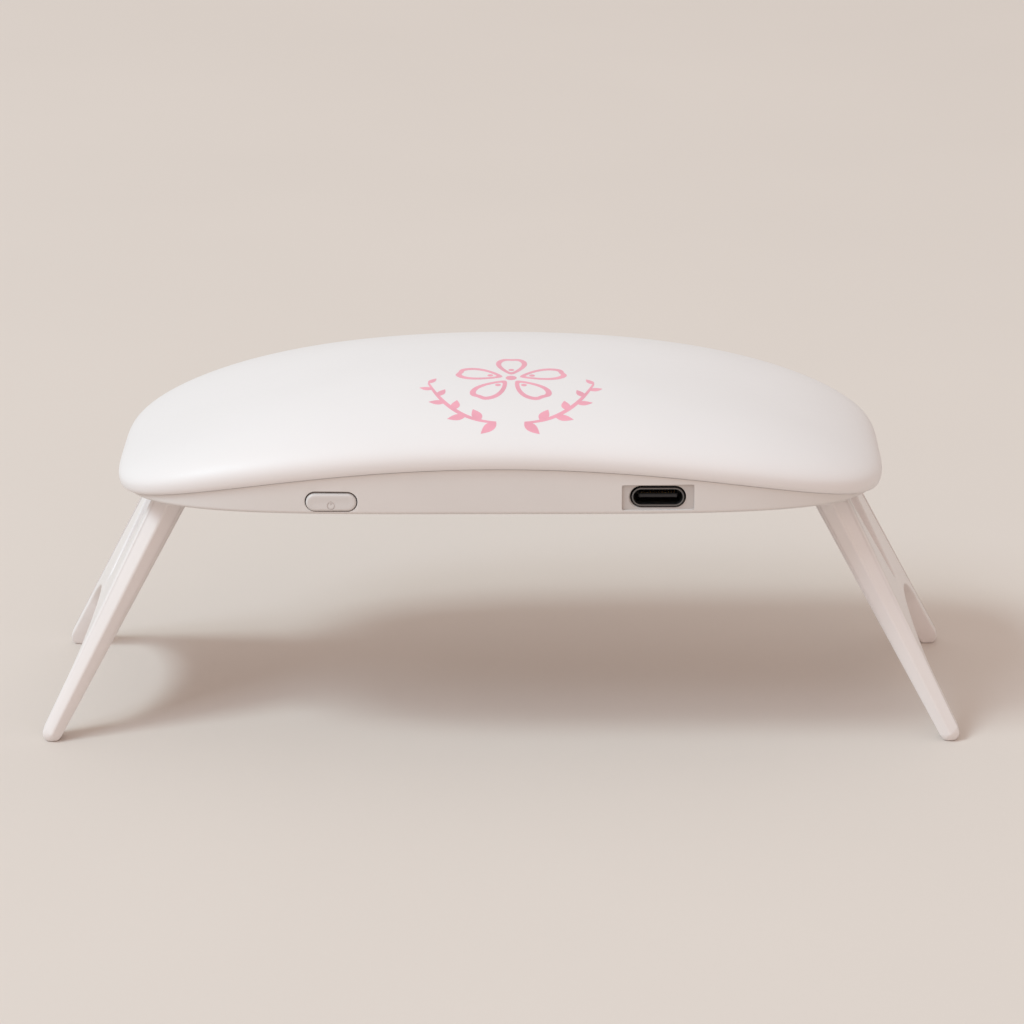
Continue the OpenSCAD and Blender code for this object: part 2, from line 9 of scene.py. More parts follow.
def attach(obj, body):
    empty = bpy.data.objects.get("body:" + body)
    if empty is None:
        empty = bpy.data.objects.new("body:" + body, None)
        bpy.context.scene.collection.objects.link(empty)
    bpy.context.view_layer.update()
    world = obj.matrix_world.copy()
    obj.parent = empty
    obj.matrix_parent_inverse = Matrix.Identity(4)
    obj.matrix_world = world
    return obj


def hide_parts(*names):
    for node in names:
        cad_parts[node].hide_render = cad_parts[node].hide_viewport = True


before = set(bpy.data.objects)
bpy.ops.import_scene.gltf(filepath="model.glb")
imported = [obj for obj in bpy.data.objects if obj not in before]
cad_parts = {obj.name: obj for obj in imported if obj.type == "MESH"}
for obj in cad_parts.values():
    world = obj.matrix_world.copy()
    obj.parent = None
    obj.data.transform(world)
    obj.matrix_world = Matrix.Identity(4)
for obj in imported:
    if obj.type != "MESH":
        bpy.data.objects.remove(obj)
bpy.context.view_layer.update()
mm = 0.001
sides = (-1, 1)
past = 1.0      # cutters run this far past the faces they open

# sizes shared by several pieces, as in the part's source
housing = {
    "halfLength": 66.5,
    "halfWidth": 32.3,
    "underside": 43.5,
    "parting": 51.7,        # parting line at mid length
    "archRadius": 264.0,
    "planPower": 4.2,
    "domePower": 2.2,
    "rimHeight": 1.9,       # height of the roll under the dome
    "crown": 10.46,         # dome over the parting line; the print lies on top of it
    "coverWall": 1.5,
    "step": 0.95,           # the casing stands back under the rolled rim
    "groove": 0.12,
    "plate": 1.0,           # walls inside the casing
    "around": 288,          # points round the outline
}
hinge = {"x": 54.0, "z": 46.7, "lean": math.radians(28), "knuckleR": 2.9, "gap": 0.5, "pin": 2.0,
         "roomIn": 2.0, "recessOut": 1.0}   # reach of the hinge's room and the leg's recess past its axis


# mesh helpers
def addObject(name, data):
    obj = bpy.data.objects.new(name, data)
    bpy.context.scene.collection.objects.link(obj)
    return obj


def faceOutwards(work):
    bmesh.ops.recalc_face_normals(work, faces=work.faces)
    if work.calc_volume(signed=True) < 0:
        bmesh.ops.reverse_faces(work, faces=work.faces)


def meshPiece(name, points, faces):
    mesh = bpy.data.meshes.new(name)
    mesh.from_pydata([[c * mm for c in p] for p in points], [], faces)
    work = bmesh.new()
    work.from_mesh(mesh)
    bmesh.ops.remove_doubles(work, verts=work.verts, dist=1e-7)
    faceOutwards(work)
    work.to_mesh(mesh)
    work.free()
    return addObject(name, mesh)


def loft(name, rings, closed=False):
    # rings of equal length; open lofts get flat ends, closed ones join the last ring to the first
    n = len(rings[0])
    points = [p for ring in rings for p in ring]
    faces = []
    for a in range(len(rings) - (0 if closed else 1)):
        b = (a + 1) % len(rings)
        for k in range(n):
            m = (k + 1) % n
            faces.append((a * n + k, b * n + k, b * n + m, a * n + m))
    if not closed:
        faces.append(tuple(range(n)))
        faces.append(tuple(range(len(points) - n, len(points))))
    return meshPiece(name, points, faces)


def bakeModifiers(obj):
    bpy.context.view_layer.update()
    graph = bpy.context.evaluated_depsgraph_get()
    mesh = bpy.data.meshes.new_from_object(obj.evaluated_get(graph))
    old = obj.data
    obj.modifiers.clear()
    obj.data = mesh
    bpy.data.meshes.remove(old)
    return obj


def combine(obj, other, how):
    step = obj.modifiers.new("combine", "BOOLEAN")
    step.operation = how
    step.object = other
    step.solver = "MANIFOLD"
    bakeModifiers(obj)
    bpy.data.objects.remove(other, do_unlink=True)
    return obj


def add(obj, other):
    return combine(obj, other, "UNION")


def cut(obj, other):
    return combine(obj, other, "DIFFERENCE")


def joinMeshes(obj, others):
    # several loose meshes become one object
    work = bmesh.new()
    for one in [obj] + others:
        work.from_mesh(one.data)
    work.to_mesh(obj.data)
    work.free()
    for one in others:
        bpy.data.objects.remove(one, do_unlink=True)
    return obj


def roundEdges(obj, width, segments, angle):
    step = obj.modifiers.new("roundEdges", "BEVEL")
    step.width = width * mm
    step.segments = segments
    step.limit_method = "ANGLE"
    step.angle_limit = math.radians(angle)
    step.use_clamp_overlap = False
    step.miter_outer = "MITER_ARC"
    bakeModifiers(obj)


def smooth(obj, angle):
    mesh = obj.data
    mesh.polygons.foreach_set("use_smooth", [True] * len(mesh.polygons))
    mesh.set_sharp_from_angle(angle=math.radians(angle))
    mesh.update()
    return obj


def tidyMesh(obj, dist, flat):
    work = bmesh.new()
    work.from_mesh(obj.data)
    bmesh.ops.remove_doubles(work, verts=work.verts, dist=dist)
    bmesh.ops.dissolve_limit(work, angle_limit=math.radians(flat), verts=work.verts, edges=work.edges)
    work.to_mesh(obj.data)
    work.free()


def finishPiece(obj, body, material, nodes, angle):
    if material:
        obj.data.materials.clear()
        obj.data.materials.append(material)
    smooth(obj, angle)
    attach(obj, body)
    if nodes:
        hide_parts(*nodes)


# plans are lists of (x, y) points; a ring is a plan with its third coordinate
def circlePoints(r, n):
    return [(r * math.cos(2 * math.pi * k / n), r * math.sin(2 * math.pi * k / n)) for k in range(n)]


def oblongPoints(w, h, n, grow=0.0):
    # round-ended oblong, n steps for each half circle
    r = h / 2 + grow
    half = (w - h) / 2
    points = []
    for end, start in ((half, -math.pi / 2), (-half, math.pi / 2)):
        for k in range(n + 1):
            turn = start + math.pi * k / n
            points.append((end + r * math.cos(turn), r * math.sin(turn)))
    return points


def boxPoints(w, h, corner, n):
    # rectangle with rounded corners
    points = []
    for a, b in ((-1, -1), (1, -1), (1, 1), (-1, 1)):
        for k in range(n + 1):
            turn = math.atan2(b, a) - math.pi / 4 + math.pi / 2 * k / n
            points.append((a * (w / 2 - corner) + corner * math.cos(turn),
                           b * (h / 2 - corner) + corner * math.sin(turn)))
    return points


def roundOver(r, steps):
    # what is left across, and what is gone along, at each step of a quarter round
    for k in range(steps + 1):
        turn = math.pi / 2 * k / steps
        yield r * (1 - math.sin(turn)), r * (1 - math.cos(turn))


def raised(plan, z):
    return [(x, y, z) for x, y in plan]


def upright(plan, x, y, z):
    # a plan stood up, to be seen from the front
    return [(x + a, y, z + b) for a, b in plan]


def cylinder(name, centre, r, low, high, n=48, axis="Z"):
    # centre is (x, y), or (x, z) for one along Y
    rings = []
    for level in (low, high):
        ring = [(centre[0] + a, centre[1] + b) for a, b in circlePoints(r, n)]
        rings.append(raised(ring, level) if axis == "Z" else upright(ring, 0, level, 0))
    return loft(name, rings)


def block(name, low, high):
    ring = [(low[0], low[1]), (high[0], low[1]), (high[0], high[1]), (low[0], high[1])]
    return loft(name, [raised(ring, z) for z in (low[2], high[2])])


# outline, arch and dome of the housing
def planPoint(inset, turn):
    p = housing["planPower"]
    c, s = math.cos(turn), math.sin(turn)
    k = 1 / (abs(c) ** p + abs(s) ** p) ** (1 / p)
    return ((housing["halfLength"] - inset) * k * c, (housing["halfWidth"] - inset) * k * s)


def planFront(x, inset):
    p = housing["planPower"]
    a = housing["halfLength"] - inset
    return (housing["halfWidth"] - inset) * (1 - (abs(x) / a) ** p) ** (1 / p)


def archZ(x):
    r = housing["archRadius"]
    return housing["parting"] - r + math.sqrt(r * r - x * x)


def domeZ(x, y):
    p = housing["planPower"]
    share = ((abs(x) / housing["halfLength"]) ** p + (abs(y) / housing["halfWidth"]) ** p) ** (1 / p)
    rise = housing["crown"] - housing["rimHeight"]
    return archZ(x) + housing["rimHeight"] + rise * math.sqrt(max(0.0, 1 - share ** housing["domePower"]))


def flatRing(inset, z):
    n = housing["around"]
    return [planPoint(inset, 2 * math.pi * k / n) + (z,) for k in range(n)]


print("scene: helpers ready")


# camera, fitted to the photograph's outline
view = {
    "place": (0.010280, -0.731846, 0.283278),
    "back": (0.010828, -0.946289, 0.323133),
    "roll": -0.0050501,
    "lens": 153.57,
}


def makeCamera():
    back = Vector(view["back"]).normalized()
    right = (-back).cross(Vector((0, 0, 1))).normalized()
    up = right.cross(-back)
    c, s = math.cos(view["roll"]), math.sin(view["roll"])
    across = right * c + up * s
    upwards = up * c - right * s
    data = bpy.data.cameras.new("photoCamera")
    data.sensor_width = 36
    data.lens = view["lens"]
    data.clip_start = 0.02
    cam = addObject("photoCamera", data)
    turn = Matrix((across, upwards, back)).transposed().to_4x4()
    cam.matrix_world = Matrix.Translation(Vector(view["place"])) @ turn
    bpy.context.scene.camera = cam


makeCamera()
print("scene: camera placed")


# node helpers
def addNode(tree, kind, **values):
    # values are outputs to link, numbers for inputs or settings of the node; _ stands for a space in a label
    node = tree.nodes.new(kind)
    for key, value in values.items():
        label = key.replace("_", " ")
        if isinstance(value, bpy.types.NodeSocket):
            tree.links.new(value, node.inputs[label])
        elif label in node.inputs:
            node.inputs[label].default_value = value
        else:
            setattr(node, key, value)
    return node


def mathNode(tree, how, a, b=None, c=None):
    # one step of arithmetic; each term is a number or another node's output
    node = addNode(tree, "ShaderNodeMath", operation=how)
    for k, term in enumerate((a, b, c)):
        if isinstance(term, (int, float)):
            node.inputs[k].default_value = term
        elif term is not None:
            tree.links.new(term, node.inputs[k])
    return node.outputs[0]


# materials: each row gives colour, its spread, scale of the clouds, roughness from and to, scale of the grain,
# strength and size of the bump, and what else the finish needs
finishRows = {
    "coverWhite": ((0.762, 0.727, 0.723), 0.010, 45, (0.42, 0.50), 900, 0.05, 0.008, {"IOR": 1.4}),
    # painted shade: the casing is the same white plastic as cover and legs, its colour set darker for the shade
    # on its walls
    "casingShadedWhite": ((0.672, 0.634, 0.614), 0.015, 60, (0.40, 0.50), 2600, 0.25, 0.008, {"IOR": 1.46}),
    "legWhite": ((0.762, 0.715, 0.702), 0.015, 70, (0.32, 0.42), 2200, 0.20, 0.008, {"IOR": 1.5}),
    # painted shade: the button's white is the casing's shaded white, a little darker again
    "buttonShadedWhite": ((0.620, 0.582, 0.566), 0.012, 90, (0.34, 0.44), 2000, 0.2, 0.008, {"IOR": 1.46}),
    "printPink": ((0.790, 0.345, 0.430), 0.06, 260, (0.30, 0.42), 3000, 0.3, 0.006, {}),
    "windowClear": ((0.93, 0.95, 1.0), 0.01, 40, (0.03, 0.07), 500, 0.05, 0.01,
                    {"Transmission Weight": 1.0, "IOR": 1.49}),
    "reflectorSilver": ((0.88, 0.88, 0.90), 0.03, 120, (0.10, 0.18), 900, 0.15, 0.02, {"Metallic": 1.0}),
    "boardGreen": ((0.02, 0.16, 0.07), 0.15, 350, (0.30, 0.42), 2500, 0.3, 0.02, {"IOR": 1.55}),
    "diodeIvory": ((0.80, 0.74, 0.60), 0.05, 600, (0.40, 0.50), 3000, 0.3, 0.01, {}),
    "diodeClear": ((0.96, 0.95, 0.90), 0.02, 300, (0.03, 0.08), 900, 0.05, 0.005,
                   {"Transmission Weight": 1.0, "IOR": 1.45}),
    # painted shade: the sleeve's steel is set nearly black, for the shade inside the port's opening
    "portShadedSteel": ((0.15, 0.148, 0.146), 0.06, 500, (0.34, 0.46), 3500, 0.3, 0.006,
                  {"streak": (1, 12, 1), "Metallic": 1.0}),
    "portBlack": ((0.012, 0.012, 0.013), 0.2, 400, (0.45, 0.60), 3500, 0.4, 0.008, {}),
    "contactGold": ((0.85, 0.62, 0.28), 0.05, 900, (0.22, 0.34), 5000, 0.2, 0.004, {"Metallic": 1.0}),
    "switchBlack": ((0.018, 0.018, 0.02), 0.2, 400, (0.45, 0.60), 3000, 0.4, 0.01, {}),
    "switchSteel": ((0.62, 0.61, 0.60), 0.05, 400, (0.25, 0.38), 3000, 0.3, 0.008,
                    {"streak": (1, 1, 10), "Metallic": 1.0}),
    "plungerWhite": ((0.78, 0.76, 0.73), 0.03, 400, (0.40, 0.50), 2500, 0.3, 0.01, {}),
    "chipBlack": ((0.015, 0.015, 0.017), 0.2, 800, (0.50, 0.65), 4000, 0.5, 0.01, {}),
    "resistorBlack": ((0.02, 0.02, 0.025), 0.2, 900, (0.35, 0.50), 4000, 0.3, 0.01, {}),
    "capacitorTan": ((0.45, 0.27, 0.13), 0.1, 900, (0.40, 0.52), 4000, 0.3, 0.01, {}),
    "pinSteel": ((0.66, 0.65, 0.64), 0.04, 300, (0.18, 0.28), 2500, 0.2, 0.006,
                 {"streak": (1, 10, 1), "Metallic": 1.0}),
    "screwSteel": ((0.50, 0.49, 0.48), 0.06, 500, (0.24, 0.38), 3000, 0.3, 0.008, {"Metallic": 1.0}),
    "floorPaper": ((0.67, 0.595, 0.545), 0.015, 6, (0.75, 0.85), 900, 0.2, 0.05, {}),
}
noiseSpan = (0.3, 0.7)


def surface(name, colour, spread, mottle, rough, grain, bump, bumpSize, others):
    # colour varies in soft clouds, roughness and bump in fine grain
    material = bpy.data.materials.new(name)
    material.use_nodes = True
    tree = material.node_tree
    shader = tree.nodes["Principled BSDF"]
    source = tree.nodes.new("ShaderNodeTexCoord").outputs["Object"]
    for key, value in others.items():
        if key == "streak":
            source = addNode(tree, "ShaderNodeMapping", Vector=source, Scale=value).outputs["Vector"]
        else:
            shader.inputs[key].default_value = value
    clouds = addNode(tree, "ShaderNodeTexNoise", Vector=source, Scale=mottle, Detail=3.0, Roughness=0.5)
    tint = addNode(tree, "ShaderNodeValToRGB", Fac=clouds.outputs["Fac"])
    for end, place, factor in zip(tint.color_ramp.elements, noiseSpan, (1 - spread, 1 + spread)):
        end.position = place
        end.color = [min(1.0, c * factor) for c in colour] + [1.0]
    grains = addNode(tree, "ShaderNodeTexNoise", Vector=source, Scale=grain, Detail=4.0, Roughness=0.6)
    fine = grains.outputs["Fac"]
    span = addNode(tree, "ShaderNodeMapRange", Value=fine, From_Min=noiseSpan[0], From_Max=noiseSpan[1],
                   To_Min=rough[0], To_Max=rough[1])
    relief = addNode(tree, "ShaderNodeBump", Height=fine, Strength=bump, Distance=bumpSize * mm)
    for output, label in ((tint.outputs["Color"], "Base Color"), (span.outputs["Result"], "Roughness"),
                          (relief.outputs["Normal"], "Normal")):
        tree.links.new(output, shader.inputs[label])
    return material


finish = {name: surface(name, *row) for name, row in finishRows.items()}
print("scene: materials ready")


# cover: rolled rim and dome over the arch, each a sheet of one node group; screw bosses inside
cover = {
    "rollInset": 0.85, "rollSteps": 10, "domeSteps": 40, "innerSteps": 16,
    "bossX": 47.0, "bossY": 21.5, "bossR": 2.4, "bossLow": 47.7, "bossHole": 0.87, "bossHoleDeep": 4.2,
    "bossOut": 1.7, "bossSunk": 0.6,    # the boss ends this far under the dome over its outer side
}


def newTree(name, inputs):
    # inputs: one string of labels for each kind of socket
    tree = bpy.data.node_groups.new(name, "GeometryNodeTree")
    for kind, labels in inputs:
        for label in labels.split(", "):
            tree.interface.new_socket(label, in_out="INPUT", socket_type="NodeSocket" + kind)
    tree.interface.new_socket("Geometry", in_out="OUTPUT", socket_type="NodeSocketGeometry")

    def calc(how, *terms):
        return mathNode(tree, how, *terms)

    return tree, tree.nodes.new("NodeGroupInput").outputs, tree.nodes.new("NodeGroupOutput").inputs[0], calc


def endTree(tree, geometry, given, result):
    # copies become real and take their finish
    real = addNode(tree, "GeometryNodeRealizeInstances", Geometry=geometry)
    coat = addNode(tree, "GeometryNodeSetMaterial", Geometry=real.outputs[0], Material=given["Finish"])
    tree.links.new(coat.outputs[0], result)


def sheetTree():
    # a band that runs once round the outline and follows the arch; its section is a quarter turn of an oval
    tree, given, result, calc = newTree("archSheet", [
        ("Float", "Half Length, Half Width, Plan Power, Arch Radius, Parting"), ("Int", "Points Around, Steps"),
        ("Float", "Inset, Turn In, Base Lift, Rise, Drop, Closing")])
    grid = addNode(tree, "GeometryNodeMeshGrid", Size_X=1.0, Size_Y=1.0,
                   Vertices_X=calc("ADD", given["Points Around"], 1), Vertices_Y=calc("ADD", given["Steps"], 1))
    position = tree.nodes.new("GeometryNodeInputPosition").outputs[0]
    split = addNode(tree, "ShaderNodeSeparateXYZ", Vector=position)
    turn = calc("MULTIPLY", calc("ADD", split.outputs["X"], 0.5), 2 * math.pi)
    level = calc("MULTIPLY", calc("ADD", split.outputs["Y"], 0.5), math.pi / 2)
    sine, cosine = calc("SINE", level), calc("COSINE", level)
    share = calc("POWER", calc("MAXIMUM", cosine, 0.0), given["Closing"])
    inset = calc("MULTIPLY_ADD", given["Turn In"], calc("SUBTRACT", 1.0, sine), given["Inset"])
    lift = calc("MULTIPLY_ADD", given["Rise"], sine, given["Base Lift"])
    lift = calc("MULTIPLY_ADD", given["Drop"], calc("SUBTRACT", 1.0, cosine), lift)
    c, s = calc("COSINE", turn), calc("SINE", turn)
    power = given["Plan Power"]
    total = calc("ADD", calc("POWER", calc("ABSOLUTE", c), power), calc("POWER", calc("ABSOLUTE", s), power))
    reach = calc("DIVIDE", share, calc("POWER", total, calc("DIVIDE", 1.0, power)))
    x = calc("MULTIPLY", calc("MULTIPLY", calc("SUBTRACT", given["Half Length"], inset), reach), c)
    y = calc("MULTIPLY", calc("MULTIPLY", calc("SUBTRACT", given["Half Width"], inset), reach), s)
    arch = calc("SQRT", calc("SUBTRACT", calc("POWER", given["Arch Radius"], 2.0), calc("MULTIPLY", x, x)))
    z = calc("ADD", calc("ADD", calc("SUBTRACT", arch, given["Arch Radius"]), given["Parting"]), lift)
    x, y, z = [calc("MULTIPLY", value, mm) for value in (x, y, z)]
    place = addNode(tree, "ShaderNodeCombineXYZ", X=x, Y=y, Z=z)
    bend = addNode(tree, "GeometryNodeSetPosition", Geometry=grid.outputs["Mesh"], Position=place.outputs[0])
    tree.links.new(bend.outputs[0], result)
    return tree


def coverTree():
    tree, given, result, calc = newTree("coverShell", [
        ("Float", "Half Length, Half Width, Plan Power, Arch Radius, Parting, Crown, Rim Height, Wall"),
        ("Float", "Roll Inset, Closing"),
        ("Int", "Points Around, Roll Steps, Dome Steps, Inner Steps"), ("Material", "Finish")])
    sheet = sheetTree()
    wall, rim, roll = given["Wall"], given["Rim Height"], given["Roll Inset"]
    rise = calc("SUBTRACT", given["Crown"], rim)
    innerRise = calc("SUBTRACT", rise, wall)
    edge = calc("SUBTRACT", roll, wall)
    # flat edge, roll, dome, inner wall, inner dome
    parts = [
        {"Steps": 1, "Inset": wall, "Turn In": edge},
        {"Steps": given["Roll Steps"], "Turn In": roll, "Drop": rim},
        {"Steps": given["Dome Steps"], "Base Lift": rim, "Rise": rise, "Closing": given["Closing"]},
        {"Steps": 1, "Inset": wall, "Rise": rim},
        {"Steps": given["Inner Steps"], "Inset": wall, "Base Lift": rim, "Rise": innerRise,
         "Closing": given["Closing"]},
    ]
    shared = ("Half Length", "Half Width", "Plan Power", "Arch Radius", "Parting", "Points Around")
    join = tree.nodes.new("GeometryNodeJoinGeometry")
    for values in parts:
        values.update({label: given[label] for label in shared})
        band = addNode(tree, "GeometryNodeGroup", node_tree=sheet, **values)
        tree.links.new(band.outputs[0], join.inputs[0])
    weld = addNode(tree, "GeometryNodeMergeByDistance", Geometry=join.outputs[0], Distance=2e-6)
    endTree(tree, weld.outputs[0], given, result)
    return tree


def socketId(tree, name):
    for item in tree.interface.items_tree:
        if item.item_type == "SOCKET" and item.in_out == "INPUT" and item.name == name:
            return item.identifier


def grown(name, tree, values):
    # runs a tree with its inputs set, and keeps the result as a plain mesh
    obj = addObject(name, bpy.data.meshes.new(name))
    step = obj.modifiers.new("grow", "NODES")
    step.node_group = tree
    for label, value in values.items():
        step[socketId(tree, label)] = value
    return bakeModifiers(obj)


def closeShell(obj):
    work = bmesh.new()
    work.from_mesh(obj.data)
    bmesh.ops.remove_doubles(work, verts=work.verts, dist=2e-6)
    bmesh.ops.dissolve_degenerate(work, dist=1e-7, edges=work.edges)
    faceOutwards(work)
    work.to_mesh(obj.data)
    work.free()


def makeCover():
    obj = grown("coverShell", coverTree(), {
        "Half Length": housing["halfLength"], "Half Width": housing["halfWidth"],
        "Plan Power": housing["planPower"], "Arch Radius": housing["archRadius"], "Parting": housing["parting"],
        "Crown": housing["crown"], "Rim Height": housing["rimHeight"], "Wall": housing["coverWall"],
        "Roll Inset": cover["rollInset"], "Closing": 2 / housing["domePower"], "Points Around": housing["around"],
        "Roll Steps": cover["rollSteps"], "Dome Steps": cover["domeSteps"], "Inner Steps": cover["innerSteps"],
        "Finish": finish["coverWhite"]})
    closeShell(obj)
    low, out = cover["bossLow"], cover["bossOut"]
    deep = low + cover["bossHoleDeep"]
    for sx in sides:
        for sy in sides:
            x, y = sx * cover["bossX"], sy * cover["bossY"]
            high = domeZ(x + out * sx, y + out * sy) - cover["bossSunk"]
            rings = [[(x + a, y + b, z) for a, b in circlePoints(cover[r], 40)] for r, z in (
                ("bossHole", deep), ("bossHole", low), ("bossR", low), ("bossR", high))]
            add(obj, loft("boss", rings))
    finishPiece(obj, "housing", finish["coverWhite"], ["top_cover"], 40)


makeCover()
print("scene: cover made")

# casing: skirt and floor as one loft, then recess, tub, bosses and openings
casing = {
    "round": 0.7, "roundSteps": 6, "over": 4.0,
    "tongueInset": 1.7, "tongueWall": 1.0, "tongueHeight": 1.2,
    "recessTop": 49.85, "mouthRound": 0.5, "mouthFlare": 1.5, "boardZ": 51.45,
    "wallLow": 0.3, "bossLow": 0.4,     # inner walls and bosses start this far inside the floor
    "hingeBossR": 3.0, "hingeBossLength": 2.6, "boreEnd": 4.2, "boreGap": 0.02,
    "bossR": 2.7, "bossTop": 47.5, "headHole": 2.1, "headHoleTop": 46.0, "shaftHole": 1.0,
    "headMouth": ((0.12, 0.1), (0.0, 0.35)),    # wider by, this far in
    "postX": 35.4, "postY": 23.8, "postR": 2.2, "postHole": 0.72, "postHoleDeep": 4.5,
    "tubLength": 38.0, "tubWidth": 24.0, "tubWall": 1.2, "tubLip": 1.0, "tubLow": 46.25, "tubTop": 50.85,
    "tubLipThick": 0.6, "tubBevel": 0.25,
    "tubEdge": ((0.4, 0.0), (0.28, 0.02), (0.12, 0.12), (0.02, 0.28), (0.0, 0.4)),  # inset, this far up
    "portX": 27.0, "portZ": 46.55, "portW": 8.94, "portH": 3.26, "portGap": 0.3,
    "portMouth": 0.2, "portDeep": 4.0, "seatW": 12.3, "seatH": 4.5, "seatCorner": 0.5, "seatDeep": 0.35,
    # the port's seat takes a painted shade in its colour, within its edge and on the casing's front
    "seatPaintedShade": (0.74, 0.72, 0.71), "paintedShadeEdge": 0.02, "paintedShadeBefore": -25.0,
    "buttonX": -28.4, "buttonZ": 45.83, "buttonW": 8.6, "buttonH": 3.2, "buttonGap": 0.18, "buttonRound": 0.15,
    "buttonDeep": 4.5, "buttonFlare": 1.6, "buttonOut": 1.5, "frontOut": 2.0,
    "skin": 0.002,                      # a cutter's mouth stands this far clear of the face it cuts
}
leg = {
    "topThick": 5.5, "footThick": 3.3, "topWidth": 26.0, "footWidth": 53.2, "ridgeTop": 1.6, "ridgeFoot": 1.0,
    "archTop": 34.5, "archRise": 10.0, "strutTop": 4.6, "strutFoot": 3.5,
    "reliefDeep": 1.4, "reliefTop": 5.5, "reliefEnd": 30.0, "reliefSide": 3.5, "reliefTip": 1.2,
    "pinGap": 0.05, "round": 0.35, "slab": 0.2, "sunk": 0.25, "cutter": 10.0,
    "floorCut": ((40, -40, -10), (100, 40, 0)),
}
leg["reach"] = (hinge["z"] - leg["footThick"] / 2 + leg["sunk"]) / math.cos(hinge["lean"])


def legHalf(s):
    return leg["topWidth"] / 2 + (leg["footWidth"] - leg["topWidth"]) / 2 * s / leg["reach"]


knuckleHalf = legHalf((hinge["z"] - housing["underside"]) / math.cos(hinge["lean"]))


def recessPlan(wall):
    # the recess narrows towards the hinges; wall moves its sides out
    endHalf = knuckleHalf + hinge["gap"] + wall
    midHalf = legHalf(hinge["x"]) + hinge["gap"] + wall
    x = hinge["x"] + hinge["recessOut"]
    return [(-x, -endHalf), (0, -midHalf), (x, -endHalf), (x, endHalf), (0, midHalf), (-x, endHalf)]


def hingeSpace(name, wall, low, side, steps=16):
    # room that the knuckle and the leaning leg take up at one end
    half = knuckleHalf + hinge["gap"] + wall
    reach = hinge["knuckleR"] + hinge["gap"] / 2 + wall
    lean = hinge["lean"]
    inner = hinge["x"] - hinge["roomIn"]
    stopX = hinge["x"] + reach / math.cos(lean) + (hinge["z"] - low) * math.tan(lean)
    shape = [(inner, low), (stopX, low)]
    for k in range(steps + 1):
        turn = lean + (math.pi / 2 - lean) * k / steps
        shape.append((hinge["x"] + reach * math.cos(turn), hinge["z"] + reach * math.sin(turn)))
    shape.append((inner, hinge["z"] + reach))
    return loft(name, [[(side * x, y, z) for x, z in shape] for y in (-half, half)])


def aboveArch(lift, halfX=70, halfY=40, top=80, steps=120):
    # all that lies over the arch, as a block with a bent underside
    rings = []
    for k in range(steps + 1):
        x = halfX * (2 * k / steps - 1)
        z = archZ(x) + lift
        rings.append([(x, -halfY, z), (x, halfY, z), (x, halfY, top), (x, -halfY, top)])
    return loft("aboveArch", rings)


def casingShell():
    # skirt and floor up to the arch, a tongue inside the cover, and the hollow
    low, step = housing["underside"], housing["step"]
    high = housing["parting"] + casing["over"]
    rings = [flatRing(step + left, low + gone) for left, gone in roundOver(casing["round"], casing["roundSteps"])]
    rings.append(flatRing(step, high))
    obj = loft("lowerCasing", rings)
    cut(obj, aboveArch(-housing["groove"]))
    tongue = casing["tongueInset"]
    inner = loft("tongue", [flatRing(tongue, low), flatRing(tongue, high)])
    cut(inner, aboveArch(casing["tongueHeight"]))
    add(obj, inner)
    hollow = tongue + casing["tongueWall"]
    floor, top = low + housing["plate"], high + casing["over"]
    return cut(obj, loft("inside", [flatRing(hollow, floor), flatRing(hollow, top)]))


def addWalls(obj):
    # walls of the leg recess, and bosses for pins, cover screws and board
    low, plate = housing["underside"], housing["plate"]
    start = low + casing["wallLow"]
    plan = recessPlan(plate)
    add(obj, loft("recessWalls", [raised(plan, z) for z in (start, casing["recessTop"] + plate)]))
    for sx in sides:
        add(obj, hingeSpace("hingeWalls", plate, start, sx))
        for sy in sides:
            y = sy * (knuckleHalf + hinge["gap"])
            ends = sorted((y, y + sy * (plate + casing["hingeBossLength"])))
            add(obj, cylinder("hingeBoss", (sx * hinge["x"], hinge["z"]), casing["hingeBossR"], *ends, axis="Y"))
            for name, x, y, r, top in (
                    ("screwBoss", cover["bossX"], cover["bossY"], casing["bossR"], casing["bossTop"]),
                    ("boardPost", casing["postX"], casing["postY"], casing["postR"], casing["boardZ"])):
                add(obj, cylinder(name, (sx * x, sy * y), r, low + casing["bossLow"], top))


def cutRecess(obj):
    # leg recess, its mouth rounded over
    low, r = housing["underside"], casing["mouthRound"]
    plans = [(r * casing["mouthFlare"], low - past)]
    plans += [(left, low + gone - (0 if gone else casing["skin"])) for left, gone in roundOver(r, 4)]
    plans.append((0, casing["recessTop"]))
    cut(obj, loft("legRecess", [raised(recessPlan(grow), z) for grow, z in plans]))
    for sx in sides:
        cut(obj, hingeSpace("hingeRoom", 0, low - past, sx))


def addTub(obj):
    # light tub between the folded legs, with a lip under the window
    wall, low, top = casing["tubWall"], casing["tubLow"], casing["tubTop"]
    lip, ledge = 2 * (wall + casing["tubLip"]), low + casing["tubLipThick"]

    def plan(inset, z, grow=0.0):
        return raised(oblongPoints(casing["tubLength"] - inset, casing["tubWidth"] - inset, 32, grow), z)

    rings = [plan(0, low + up, -inset) for inset, up in casing["tubEdge"]]
    rings += [plan(0, top), plan(2 * wall, top), plan(2 * wall, ledge), plan(lip, ledge),
              plan(lip, low + casing["tubBevel"]), plan(lip - 2 * casing["tubBevel"], low)]
    cut(obj, loft("tubHole", [plan(wall, housing["underside"]), plan(wall, top + past)]))
    add(obj, loft("lightTub", rings, True))


